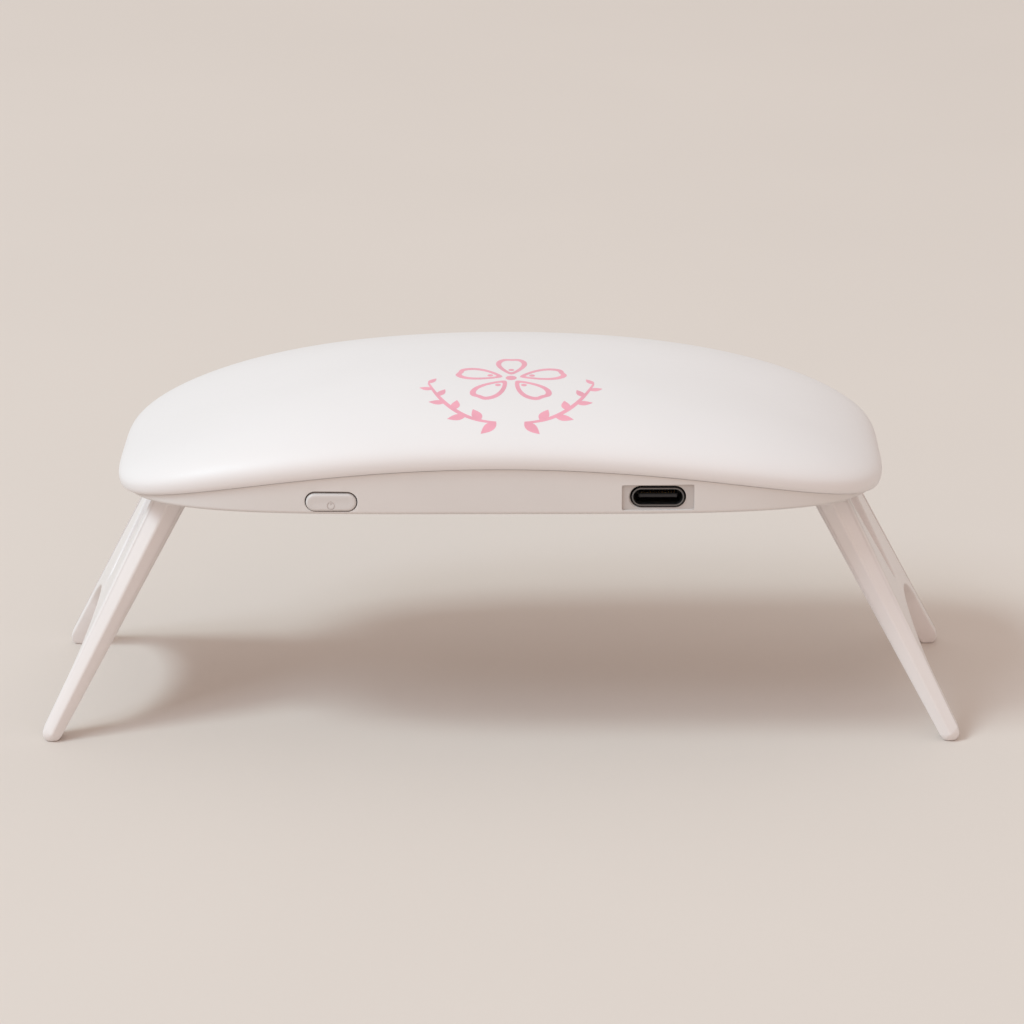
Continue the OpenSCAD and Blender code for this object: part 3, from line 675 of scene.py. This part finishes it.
def drillHoles(obj):
    # bores for the hinge pins, holes for cover and board screws
    low, top = housing["underside"], casing["boardZ"]
    boreR, boreEnd = hinge["pin"] / 2 + casing["boreGap"], knuckleHalf + casing["boreEnd"]
    mouth = [(0.6, low - past), (0.35, low - casing["skin"])]
    mouth += [(wider, low + up) for wider, up in casing["headMouth"]] + [(0.0, casing["headHoleTop"])]
    for sx in sides:
        cut(obj, cylinder("pinBore", (sx * hinge["x"], hinge["z"]), boreR, -boreEnd, boreEnd, axis="Y"))
        for sy in sides:
            x, y = sx * cover["bossX"], sy * cover["bossY"]
            rings = [[(x + a, y + b, z) for a, b in circlePoints(casing["headHole"] + grow, 48)]
                     for grow, z in mouth]
            cut(obj, loft("headHole", rings))
            cut(obj, cylinder("shaftHole", (x, y), casing["shaftHole"], low, casing["bossTop"] + past))
            cut(obj, cylinder("postHole", (sx * casing["postX"], sy * casing["postY"]), casing["postHole"],
                              top - casing["postHoleDeep"], top + past, 32))


def cutPort(obj):
    # shallow seat that follows the wall, and the opening in it
    step, deep = housing["step"], casing["seatDeep"]
    x, z = casing["portX"], casing["portZ"]
    front = -planFront(x, step)
    seat = boxPoints(casing["seatW"], casing["seatH"], casing["seatCorner"], 5)
    cut(obj, loft("portSeat", [[(x + a, back - planFront(x + a, step), z + b) for a, b in seat]
                               for back in (-casing["frontOut"], deep)]))
    w, h = casing["portW"] + 2 * casing["portGap"], casing["portH"] + 2 * casing["portGap"]
    r = casing["portMouth"]
    mouth = ((r * casing["mouthFlare"], -casing["frontOut"]), (r, deep - casing["skin"]), (0.0, deep + r),
             (0.0, casing["portDeep"]))
    cut(obj, loft("portHole", [upright(oblongPoints(w, h, 24, grow), x, front + back, z)
                               for grow, back in mouth]))


def cutButton(obj):
    # oblong opening whose mouth is rounded over
    x, z, r = casing["buttonX"], casing["buttonZ"], casing["buttonRound"]
    w, h = casing["buttonW"] + 2 * casing["buttonGap"], casing["buttonH"] + 2 * casing["buttonGap"]
    step = housing["step"]
    mouth = [(r * casing["buttonFlare"], -casing["buttonOut"])]
    mouth += [(left, gone - (0 if gone else casing["skin"])) for left, gone in roundOver(r, 6)]
    rings = [[(x + a, back - planFront(x + a, step), z + b) for a, b in oblongPoints(w, h, 20, grow)]
             for grow, back in mouth]
    rings.append(upright(oblongPoints(w, h, 20), x, casing["buttonDeep"] - planFront(x, step), z))
    cut(obj, loft("buttonHole", rings))


def paintSeatShade(material):
    # painted shade: the colour of the port's recessed seat is darkened against the wall round it
    tree = material.node_tree
    shader = tree.nodes["Principled BSDF"]
    tint = shader.inputs["Base Color"].links[0].from_socket
    place = tree.nodes.new("ShaderNodeTexCoord").outputs["Object"]
    split = addNode(tree, "ShaderNodeSeparateXYZ", Vector=place)
    inside = mathNode(tree, "LESS_THAN", split.outputs["Y"], casing["paintedShadeBefore"] * mm)
    for axis, middle, size in (("X", casing["portX"], casing["seatW"]), ("Z", casing["portZ"], casing["seatH"])):
        away = mathNode(tree, "ABSOLUTE", mathNode(tree, "SUBTRACT", split.outputs[axis], middle * mm))
        near = mathNode(tree, "LESS_THAN", away, (size / 2 - casing["paintedShadeEdge"]) * mm)
        inside = mathNode(tree, "MULTIPLY", inside, near)
    paintedShadeMix = addNode(tree, "ShaderNodeMix", data_type="RGBA", blend_type="MULTIPLY")
    paintedShadeMix.inputs[7].default_value = casing["seatPaintedShade"] + (1.0,)
    tree.links.new(inside, paintedShadeMix.inputs[0])
    tree.links.new(tint, paintedShadeMix.inputs[6])
    tree.links.new(paintedShadeMix.outputs[2], shader.inputs["Base Color"])


def makeCasing():
    obj = casingShell()
    for work in (addWalls, cutRecess, addTub, drillHoles, cutPort, cutButton):
        work(obj)
    tidyMesh(obj, 1e-6, 0.2)
    # painted shade in the port's seat
    paintSeatShade(finish["casingShadedWhite"])
    finishPiece(obj, "housing", finish["casingShadedWhite"], ["lower_casing"], 32)


makeCasing()
print("scene: casing made")


# legs: tapering plate with ridged edges, two feet, knuckle and V relief
def edgeSection(t, half, ridge):
    return [(-t / 2, half - ridge), (0, half), (t / 2, half - ridge),
            (t / 2, ridge - half), (0, -half), (-t / 2, ridge - half)]


def hullPiece(name, points):
    mesh = bpy.data.meshes.new(name)
    work = bmesh.new()
    verts = [work.verts.new([c * mm for c in p]) for p in points]
    out = bmesh.ops.convex_hull(work, input=verts)
    loose = {g for g in out["geom_interior"] + out["geom_unused"] if isinstance(g, bmesh.types.BMVert)}
    bmesh.ops.delete(work, geom=list(loose), context="VERTS")
    bmesh.ops.dissolve_limit(work, angle_limit=math.radians(0.5), verts=work.verts, edges=work.edges)
    bmesh.ops.recalc_face_normals(work, faces=work.faces)
    work.to_mesh(mesh)
    work.free()
    return addObject(name, mesh)


def makeLeg(name, side, body, node):
    reach, thick, foot, slab = leg["reach"], leg["topThick"], leg["footThick"], leg["slab"]
    points = []
    for section, low in ((edgeSection(thick, leg["topWidth"] / 2, leg["ridgeTop"]), -slab),
                         (edgeSection(foot, leg["footWidth"] / 2, leg["ridgeFoot"]), -reach)):
        points += [(x, y, z) for x, y in section for z in (low, low + slab)]
    half = leg["footWidth"] / 2 - leg["ridgeFoot"]
    for a, b in circlePoints(foot / 2, 32):
        points += [(a, sy * half, -reach + b) for sy in sides]
    obj = hullPiece(name, points)
    add(obj, cylinder("knuckle", (0, 0), hinge["knuckleR"], -knuckleHalf, knuckleHalf, 64, "Y"))
    # arch between the feet
    shoulder = leg["archTop"] + leg["archRise"]
    span = legHalf(shoulder) - leg["strutTop"]
    arch = []
    for k in range(41):
        turn = math.pi * k / 40
        arch.append((span * math.cos(turn), -shoulder + leg["archRise"] * math.sin(turn)))
    inner = leg["footWidth"] / 2 - leg["strutFoot"]
    arch += [(-inner, -reach - foot), (inner, -reach - foot)]
    cut(obj, loft("legArch", [[(x, y, z) for y, z in arch] for x in (-leg["cutter"], leg["cutter"])]))
    # relief in the outer face
    top, tip = legHalf(leg["reliefTop"]) - leg["reliefSide"], leg["reliefTip"]
    high, low = -leg["reliefTop"], -leg["reliefEnd"]
    plan = [(-top, high), (top, high), (tip, low), (-tip, low)]
    levels = (thick / 2 - leg["reliefDeep"], hinge["knuckleR"] + leg["cutter"])
    relief = loft("relief", [[(x, y, z) for y, z in plan] for x in levels])
    relief.data.transform(Matrix.Rotation(math.atan((thick - foot) / 2 / reach), 4, "Y"))
    cut(obj, relief)
    boreR, boreEnd = hinge["pin"] / 2 + leg["pinGap"], knuckleHalf + past
    cut(obj, cylinder("bore", (0, 0), boreR, -boreEnd, boreEnd, axis="Y"))
    # stand it at its hinge, open, and cut the feet flat on the floor
    place = Matrix.Translation((hinge["x"] * mm, 0, hinge["z"] * mm)) @ Matrix.Rotation(-hinge["lean"], 4, "Y")
    obj.data.transform(place)
    cut(obj, block("floorCut", *leg["floorCut"]))
    tidyMesh(obj, 2e-6, 0.4)
    roundEdges(obj, leg["round"], 3, 28)
    work = bmesh.new()
    work.from_mesh(obj.data)
    for vert in work.verts:
        vert.co.x *= side
        vert.co.z = max(vert.co.z, 0.0)
    if side < 0:
        bmesh.ops.reverse_faces(work, faces=work.faces)
    work.to_mesh(obj.data)
    work.free()
    finishPiece(obj, body, finish["legWhite"], [node], 30)


makeLeg("rightLeg", 1, "right_leg", "right_leg")
makeLeg("leftLeg", -1, "left_leg", "left_leg")
print("scene: legs made")

# button: rounded cap with a sunk on and off mark, collar and stem behind the wall
button = {
    "x": casing["buttonX"], "z": 45.74, "width": casing["buttonW"], "height": 3.1, "proud": 0.25, "round": 0.45,
    "dish": 0.05, "dishRings": ((0.8, 0.3), (1.2, 0.8), (1.5, 1.0)),    # inset, share of the dish
    "collarWidth": 10.6, "collarThick": 0.8, "collarLow": 44.8, "collarHigh": 48.1, "collarGap": 0.2,
    "stemLength": 0.8, "stemR": 1.0, "stemZ": 46.1, "stemSunk": 0.3, "capSunk": 0.1,
    "markZ": 45.2, "markR": 0.7, "markWidth": 0.2, "markDeep": 0.1, "markGap": 1.3, "markBar": (0.15, 1.18),
}


def makeButton():
    x, z = button["x"], button["z"]
    front = -planFront(x, housing["step"]) - button["proud"]
    wallEnd = planFront(abs(x) + button["collarWidth"] / 2, casing["tongueInset"] + casing["tongueWall"])
    collarY = button["collarGap"] - wallEnd
    back = collarY + button["collarThick"]

    def ring(y, grow=0.0):
        return upright(oblongPoints(button["width"], button["height"], 24, grow), x, y, z)

    rings = [ring(back - button["capSunk"])]
    rings += [ring(front + left, -gone) for left, gone in roundOver(button["round"], 8)]
    rings += [ring(front + button["dish"] * share, -inset) for inset, share in button["dishRings"]]
    obj = loft("powerButton", rings)
    half = button["collarWidth"] / 2
    add(obj, block("collar", (x - half, collarY, button["collarLow"]), (x + half, back, button["collarHigh"])))
    stemEnd = back + button["stemLength"]
    stemStart = back - button["stemSunk"]
    add(obj, cylinder("stem", (x, button["stemZ"]), button["stemR"], stemStart, stemEnd, axis="Y"))
    # open ring with a bar in its gap
    outer, mark = button["markR"], button["markZ"]
    gap = math.asin(button["markGap"] * button["markWidth"] / outer)
    arc = [math.pi / 2 + gap + (2 * math.pi - 2 * gap) * k / 40 for k in range(41)]
    shape = []
    for r, turns in ((outer, arc), (outer - button["markWidth"], arc[::-1])):
        shape += [(r * math.cos(t), r * math.sin(t)) for t in turns]
    deep = front + button["dish"] + button["markDeep"]
    cut(obj, loft("markRing", [upright(shape, x, y, mark) for y in (front - past, deep)]))
    bar = button["markWidth"] / 2
    low, high = [mark + share * outer for share in button["markBar"]]
    cut(obj, block("markBar", (x - bar, front - past, low), (x + bar, deep, high)))
    tidyMesh(obj, 1e-6, 0.2)
    finishPiece(obj, "button", finish["buttonShadedWhite"], ["power_button"], 28)


makeButton()
print("scene: button made")

# charging port: drawn steel sleeve with a rolled lip, black tongue with its contacts
port = {
    "x": casing["portX"], "z": casing["portZ"], "width": casing["portW"], "height": casing["portH"],
    "length": 7.0, "wall": 0.3, "lip": 0.12, "curl": 0.3, "sunk": 0.3,
    "tongueWidth": 6.6, "tongueThick": 0.7, "tongueBack": 0.8, "tongueBevel": 0.14, "plug": 1.6,
}
port["front"] = -planFront(port["x"], housing["step"]) + port["sunk"]
port["back"] = port["front"] + port["length"]


def makePort():
    x, z = port["x"], port["z"]
    front, back = port["front"], port["back"]
    wall, lip = port["wall"], port["lip"]
    curl = port["curl"] * lip
    rings = [upright(oblongPoints(port["width"], port["height"], 20, grow), x, y, z) for grow, y in (
        (0.0, back), (0.0, front + lip), (-curl, front + curl), (-lip, front),
        (lip - wall, front), (curl - wall, front + curl), (-wall, front + lip), (-wall, back))]
    shell = loft("portShell", rings, True)
    finishPiece(shell, "housing", finish["portShadedSteel"], ["port_shell"], 40)
    w, t, bevel = port["tongueWidth"] / 2, port["tongueThick"] / 2, port["tongueBevel"]
    start, end = front + port["tongueBack"], back - port["plug"]
    square = ((-1, -1), (1, -1), (1, 1), (-1, 1))
    tongue = loft("portTongue", [upright([(a * (w - draw), b * (t - draw)) for a, b in square], x, y, z)
                                 for y, draw in ((start, bevel), (start + bevel, 0.0), (end, 0.0))])
    finishPiece(tongue, "housing", finish["portBlack"], ["port_tongue"], 20)


makePort()
print("scene: port made")


# node trees for what repeats
def placedCopies(tree, points, given, result, spin=None):
    # a part on each point, made real and given its finish
    part = addNode(tree, "GeometryNodeObjectInfo", Object=given["Part"])
    copies = addNode(tree, "GeometryNodeInstanceOnPoints", Points=points, Instance=part.outputs["Geometry"])
    if spin:
        tree.links.new(spin, copies.inputs["Rotation"])
    endTree(tree, copies.outputs["Instances"], given, result)
    return copies


def gridTree():
    # columns and rows, turned and moved to their place
    tree, given, result, calc = newTree("repeatOnGrid", [
        ("Object", "Part"), ("Int", "Columns, Rows"), ("Float", "Column Pitch, Row Pitch"),
        ("Vector", "Place, Turn"), ("Material", "Finish")])
    link = tree.links.new
    grid = tree.nodes.new("GeometryNodeMeshGrid")
    for axis, pitch, count in (("X", "Column Pitch", "Columns"), ("Y", "Row Pitch", "Rows")):
        span = calc("MULTIPLY", calc("SUBTRACT", given[count], 1), given[pitch])
        link(span, grid.inputs["Size " + axis])
        link(given[count], grid.inputs["Vertices " + axis])
    move = addNode(tree, "GeometryNodeTransform", Geometry=grid.outputs["Mesh"], Translation=given["Place"],
                   Rotation=given["Turn"])
    placedCopies(tree, move.outputs["Geometry"], given, result)
    return tree


def ringTree():
    # copies turned evenly about one point
    tree, given, result, calc = newTree("repeatAround", [
        ("Object", "Part"), ("Int", "Count"), ("Vector", "Place"), ("Float", "Start"), ("Material", "Finish")])
    points = addNode(tree, "GeometryNodePoints", Count=given["Count"], Position=given["Place"])
    index = tree.nodes.new("GeometryNodeInputIndex").outputs[0]
    step = calc("DIVIDE", 2 * math.pi, given["Count"])
    spin = addNode(tree, "ShaderNodeCombineXYZ", Z=calc("MULTIPLY_ADD", index, step, given["Start"]))
    placedCopies(tree, points.outputs[0], given, result, spin.outputs[0])
    return tree


def stemTree():
    # leaves in turn on both sides of a bent line, smaller towards its end
    tree, given, result, calc = newTree("leavesOnLine", [
        ("Object", "Part"), ("Int", "Count"), ("Vector", "Start, Bend, End"),
        ("Float", "Tilt, First Size, Last Size"), ("Material", "Finish")])
    line = addNode(tree, "GeometryNodeCurveQuadraticBezier", Resolution=24, Start=given["Start"],
                   Middle=given["Bend"], End=given["End"])
    points = addNode(tree, "GeometryNodeCurveToPoints", Curve=line.outputs[0], Count=given["Count"])
    index = tree.nodes.new("GeometryNodeInputIndex").outputs[0]
    side = calc("SUBTRACT", calc("MULTIPLY", calc("MODULO", index, 2), 2), 1)
    split = addNode(tree, "ShaderNodeSeparateXYZ", Vector=points.outputs["Tangent"])
    heading = calc("ARCTAN2", split.outputs["Y"], split.outputs["X"])
    spin = addNode(tree, "ShaderNodeCombineXYZ", Z=calc("MULTIPLY_ADD", side, given["Tilt"], heading))
    copies = placedCopies(tree, points.outputs["Points"], given, result, spin.outputs[0])
    share = calc("DIVIDE", index, given["Count"])
    growth = calc("SUBTRACT", given["Last Size"], given["First Size"])
    size = calc("MULTIPLY_ADD", share, growth, given["First Size"])
    tree.links.new(size, copies.inputs["Scale"])
    return tree


trees = {"grid": gridTree(), "ring": ringTree(), "stem": stemTree()}


def repeated(name, tree, values):
    obj = grown(name, tree, values)
    bpy.data.objects.remove(values["Part"], do_unlink=True)
    return obj


# screws: pan heads with a cross recess and a rolled thread
screws = {
    "case": {"d": 1.7, "headR": 1.9, "headH": 1.3, "length": 5.2, "x": cover["bossX"], "y": cover["bossY"],
             "seat": casing["headHoleTop"], "up": True},
    "board": {"d": 1.4, "headR": 1.45, "headH": 0.9, "length": 4.4, "x": casing["postX"], "y": casing["postY"],
              "seat": 52.45, "up": False},
}
screwShape = {
    # share of the head's radius, share of its height
    "head": ((0.25, 1.0), (0.62, 0.97), (0.86, 0.8), (0.97, 0.5), (1.0, 0.2), (0.985, 0.0)),
    # share of the shaft's radius, share of the pitch
    "thread": ((0.78, 0.12), (1.0, 0.45), (1.0, 0.55), (0.78, 0.9)),
    "pitch": 0.55, "tip": 0.5, "arm": 0.6, "armHalf": 0.12, "armTaper": 0.85, "armBottom": 0.42,
}


def screwPart(name, size):
    r, h, rs, length = size["headR"], size["headH"], size["d"] / 2, size["length"]
    levels = [(r * a, -h * b) for a, b in screwShape["head"]]
    turns = int(length / screwShape["pitch"])
    pitch = length / turns
    for k in range(turns):
        levels += [(rs * grow, pitch * (k + share)) for grow, share in screwShape["thread"]]
    levels.append((rs * screwShape["tip"], length))
    obj = loft(name, [raised(circlePoints(radius, 40), z) for radius, z in levels])
    long, thin, taper = screwShape["arm"] * r, screwShape["armHalf"] * r, screwShape["armTaper"]
    for a, b in ((long, thin), (thin, long)):
        cut(obj, loft("recess", [[(x * k, y * k, z) for x, y in ((-a, -b), (a, -b), (a, b), (-a, b))]
                                 for k, z in ((1, -h - 0.3), (taper, -h * screwShape["armBottom"]))]))
    if not size["up"]:
        obj.data.transform(Matrix.Rotation(math.pi, 4, "X"))
    return smooth(obj, 35)


def makeScrews():
    for key, node in (("case", "case_screws"), ("board", "board_screws")):
        size = screws[key]
        obj = repeated(key + "Screws", trees["grid"], {
            "Part": screwPart(key + "ScrewPart", size), "Columns": 2, "Rows": 2,
            "Column Pitch": 2 * size["x"] * mm, "Row Pitch": 2 * size["y"] * mm,
            "Place": (0.0, 0.0, size["seat"] * mm), "Finish": finish["screwSteel"]})
        finishPiece(obj, "housing", None, [node], 35)


makeScrews()
print("scene: screws made")

# light diodes: square packages with a bevelled rim, a clear lens on each; gold contacts on the port's tongue
diode = {
    "pitchX": 11.5, "pitchY": 10.6, "side": 3.5, "thick": 0.8, "corner": 0.3,
    "rim": ((0.0, 0.1), (0.08, 0.02), (0.14, 0.0)),     # narrower by, this far from the front
    "lensR": 1.45, "lensSteps": 12, "lensTop": 0.985,
}
contact = {"count": 12, "pitch": 0.5, "width": 0.28, "length": 3.2, "thick": 0.05, "back": 0.7, "slope": 0.12}


def makeDiodes():
    thick = diode["thick"]
    base = []
    for narrower, z in [(0.0, 0.0)] + [(narrower, away - thick) for narrower, away in diode["rim"]]:
        side = diode["side"] - narrower
        base.append(raised(boxPoints(side, side, diode["corner"], 4), z))
    lens = []
    r, steps = diode["lensR"], diode["lensSteps"]
    for k in range(steps + 1):
        turn = math.pi / 2 * min(k / steps, diode["lensTop"])
        lens.append(raised(circlePoints(r * math.cos(turn), 40), -thick - r * math.sin(turn)))
    for name, part, material, node, slot in (
            ("diodeBases", loft("diodeBase", base), "diodeIvory", "diode_bases", "diode_ivory"),
            ("diodeLenses", loft("diodeLens", lens), "diodeClear", "diode_domes", "diode_clear")):
        obj = repeated(name, trees["grid"], {
            "Part": part, "Columns": 3, "Rows": 2, "Column Pitch": diode["pitchX"] * mm,
            "Row Pitch": diode["pitchY"] * mm, "Place": (0.0, 0.0, casing["boardZ"] * mm),
            "Finish": finish[material]})
        finishPiece(obj, "housing", None, [node], 35)


def makeContacts():
    half, thick = contact["width"] / 2, contact["thick"] / 2
    bar = [[(-half, y, -thick), (half, y, -thick), (half, y, thick * tall), (-half, y, thick * tall)]
           for y, tall in ((0.0, -0.4), (contact["slope"], 1.0), (contact["length"], 1.0))]
    start = port["front"] + port["tongueBack"] + contact["back"]
    obj = repeated("portContacts", trees["grid"], {
        "Part": loft("contactBar", bar), "Columns": contact["count"], "Rows": 2,
        "Column Pitch": contact["pitch"] * mm, "Row Pitch": (port["tongueThick"] + contact["thick"]) * mm,
        "Place": (port["x"] * mm, start * mm, port["z"] * mm), "Turn": (math.pi / 2, 0.0, 0.0),
        "Finish": finish["contactGold"]})
    finishPiece(obj, "housing", None, ["port_contacts"], 30)


makeDiodes()
makeContacts()
print("scene: diodes and contacts made")

# print on the dome: a five-petal blossom between two leafy stems, laid on the cover
motif = {
    "x": 2.0, "y": -11.4, "line": 1.05,
    "petals": 5, "petalLength": 8.6, "petalWidth": 6.6, "petalGap": 1.6, "petalTaper": (0.78, 0.30, -0.10),
    "notch": 0.13, "notchWidth": 0.34,
    "eyeR": 0.95, "stamenR": 0.5, "stamenOut": 2.2,
    "stem": ((2.4, -15.4), (10.8, -15.0), (14.2, -1.6)),
    "stemWidth": 0.6, "stemEnd": 0.2, "stemSwell": (0.12, 0.92),
    "leaves": 8, "leafLength": 3.6, "leafWidth": 1.8, "leafTilt": 0.85, "lastLeaf": 0.6,
    "lift": 0.015, "thick": 0.03, "longest": 0.9,   # edges over the longest are split, to follow the dome
}


def flatShape(name, outline, hole=None, close=True):
    # flat outline in the XY plane, or the band between two outlines
    n = len(outline)
    if hole is None:
        return meshPiece(name, raised(outline, 0), [tuple(range(n))])
    faces = [(k, (k + 1) % n, n + (k + 1) % n, n + k) for k in range(n if close else n - 1)]
    return meshPiece(name, raised(outline + hole, 0), faces)


def petalOutline(length, width, start, n=36):
    # round-tipped petal with a small notch, pointing along +Y from start
    shape = []
    for k in range(n):
        t = 2 * math.pi * k / n
        y = -math.cos(t)
        middle, tip, both = motif["petalTaper"]
        x = math.sin(t) * (middle + tip * y + both * y * y)
        notch = motif["notch"] * math.exp(-(math.sin(t) / motif["notchWidth"]) ** 2) if y > 0 else 0.0
        shape.append((width / 2 * x, start + length * (y * (1 - notch) + 1) / 2))
    return shape


def leafOutline(length, width, n=20):
    # pointed leaf along +X
    upper = [(length * k / n, width / 2 * math.sin(math.pi * (k / n) ** 0.8)) for k in range(n + 1)]
    return upper + [(x, -y) for x, y in upper[-2:0:-1]]


def bentLine(start, bend, end, n=28):
    shares = [((1 - t) ** 2, 2 * t * (1 - t), t * t) for t in (k / n for k in range(n + 1))]
    return [tuple(p * a + q * b + r * c for a, b, c in zip(start, bend, end)) for p, q, r in shares]


def bandAlong(points, widths):
    # both sides of a tapering flat band along a line of points
    left, right = [], []
    for k, (x, y) in enumerate(points):
        a, b = points[max(0, k - 1)], points[min(len(points) - 1, k + 1)]
        dx, dy = b[0] - a[0], b[1] - a[1]
        w = widths[k] / 2 / math.hypot(dx, dy)
        left.append((x - dy * w, y + dx * w))
        right.append((x + dy * w, y - dx * w))
    return left, right


def printShapes():
    # petals, stamens and eye of the blossom, then the stems with their leaves
    cx, cy, gap, ink = motif["x"], motif["y"], motif["petalGap"], finish["printPink"]
    line, length, width = motif["line"], motif["petalLength"], motif["petalWidth"]
    petal = flatShape("petal", petalOutline(length, width, gap),
                      petalOutline(length - 2 * line, width - 2.1 * line, gap + line))
    away = motif["stamenOut"] + gap
    stamen = flatShape("stamen", [(x, y + away) for x, y in circlePoints(motif["stamenR"], 16)])
    pieces = [repeated(name, trees["ring"], {"Part": part, "Count": motif["petals"],
                                             "Place": (cx * mm, cy * mm, 0.0), "Finish": ink})
              for name, part in (("petals", petal), ("stamens", stamen))]
    pieces.append(flatShape("eye", [(x + cx, y + cy) for x, y in circlePoints(motif["eyeR"], 28)]))
    for side in sides:
        bends = [(side * x + cx, y + cy) for x, y in motif["stem"]]
        points = bentLine(*bends)
        last = len(points) - 1
        low, high = motif["stemSwell"]
        taper = [motif["stemEnd"] + motif["stemWidth"] * math.sin(math.pi * (low + (high - low) * k / last))
                 for k in range(last + 1)]
        pieces.append(flatShape("stem", *bandAlong(points, taper), False))
        start, bend, end = [(x * mm, y * mm, 0.0) for x, y in bends]
        pieces.append(repeated("leaves", trees["stem"], {
            "Part": flatShape("leaf", leafOutline(motif["leafLength"], motif["leafWidth"])),
            "Count": motif["leaves"], "Start": start, "Bend": bend, "End": end,
            "Tilt": motif["leafTilt"] * side, "First Size": 1.0, "Last Size": motif["lastLeaf"], "Finish": ink}))
    return pieces


def makePrint():
    pieces = printShapes()
    obj = joinMeshes(pieces[0], pieces[1:])
    # cut finely, laid on the dome, then given its thickness
    work = bmesh.new()
    work.from_mesh(obj.data)
    bmesh.ops.triangulate(work, faces=work.faces)
    for turn in range(4):
        long = [e for e in work.edges if e.calc_length() > motif["longest"] * mm]
        if long:
            bmesh.ops.subdivide_edges(work, edges=long, cuts=1, use_grid_fill=False)
            bmesh.ops.triangulate(work, faces=[f for f in work.faces if len(f.verts) > 3])
    for face in work.faces:
        if face.normal.z < 0:
            face.normal_flip()
    for vert in work.verts:
        vert.co.z = (domeZ(vert.co.x / mm, vert.co.y / mm) + motif["lift"]) * mm
    work.to_mesh(obj.data)
    work.free()
    step = obj.modifiers.new("ink", "SOLIDIFY")
    step.thickness = motif["thick"] * mm
    step.offset = -1
    bakeModifiers(obj)
    obj.name = "domePrint"
    finishPiece(obj, "housing", finish["printPink"], (), 60)


makePrint()
print("scene: print made")

# carried-over nodes take their finish
nodeFinish = {
    "light_window": "windowClear", "reflector": "reflectorSilver", "main_board": "boardGreen",
    "port_base": "portBlack", "switch_body": "switchBlack", "switch_frame": "switchSteel",
    "switch_plunger": "plungerWhite", "timer_chip": "chipBlack", "driver_transistors": "chipBlack",
    "resistors": "resistorBlack", "capacitors": "capacitorTan", "left_hinge_pin": "pinSteel",
    "right_hinge_pin": "pinSteel",
}
for nodeName, finishName in nodeFinish.items():
    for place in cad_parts[nodeName].material_slots:
        place.material = finish[finishName]
print("scene: carried-over pieces finished")

# floor and lights
stage = {
    "floorSize": 9.0, "sky": 0.73, "skyColour": (1.0, 0.915, 0.86), "aim": (0, 0, 0.03),
    "lamps": [
        {"name": "keyLight", "place": (-2.001, -0.790, 2.633), "size": 0.8, "power": 48.0,
         "colour": (0.72, 0.93, 1.0)},
        {"name": "frontLight", "place": (-1.797, -1.655, 2.365), "size": 0.9, "power": 22.0,
         "colour": (0.67, 0.84, 1.0)},
        {"name": "lowLight", "place": (0.252, -3.148, 1.259), "size": 2.4, "power": 11.0,
         "colour": (1.0, 0.52, 0.36)},
    ],
}


def addLamp(values):
    data = bpy.data.lights.new(values["name"], "AREA")
    data.shape = "SQUARE"
    data.size = values["size"]
    data.energy = values["power"]
    data.color = values["colour"]
    lamp = addObject(values["name"], data)
    lamp.location = values["place"]
    lamp.rotation_euler = (Vector(values["place"]) - Vector(stage["aim"])).to_track_quat("Z", "Y").to_euler()


def makeStage():
    s = stage["floorSize"] / 2
    mesh = bpy.data.meshes.new("studioFloor")
    mesh.from_pydata([(-s, -s, 0), (s, -s, 0), (s, s, 0), (-s, s, 0)], [], [(0, 1, 2, 3)])
    mesh.materials.append(finish["floorPaper"])
    floor = addObject("studioFloor", mesh)
    for lamp in stage["lamps"]:
        addLamp(lamp)
    world = bpy.context.scene.world or bpy.data.worlds.new("studio")
    bpy.context.scene.world = world
    world.use_nodes = True
    sky = world.node_tree.nodes.get("Background")
    sky.inputs["Color"].default_value = stage["skyColour"] + (1,)
    sky.inputs["Strength"].default_value = stage["sky"]
    bpy.context.scene.view_settings.view_transform = "Standard"


makeStage()
print("scene: stage made")
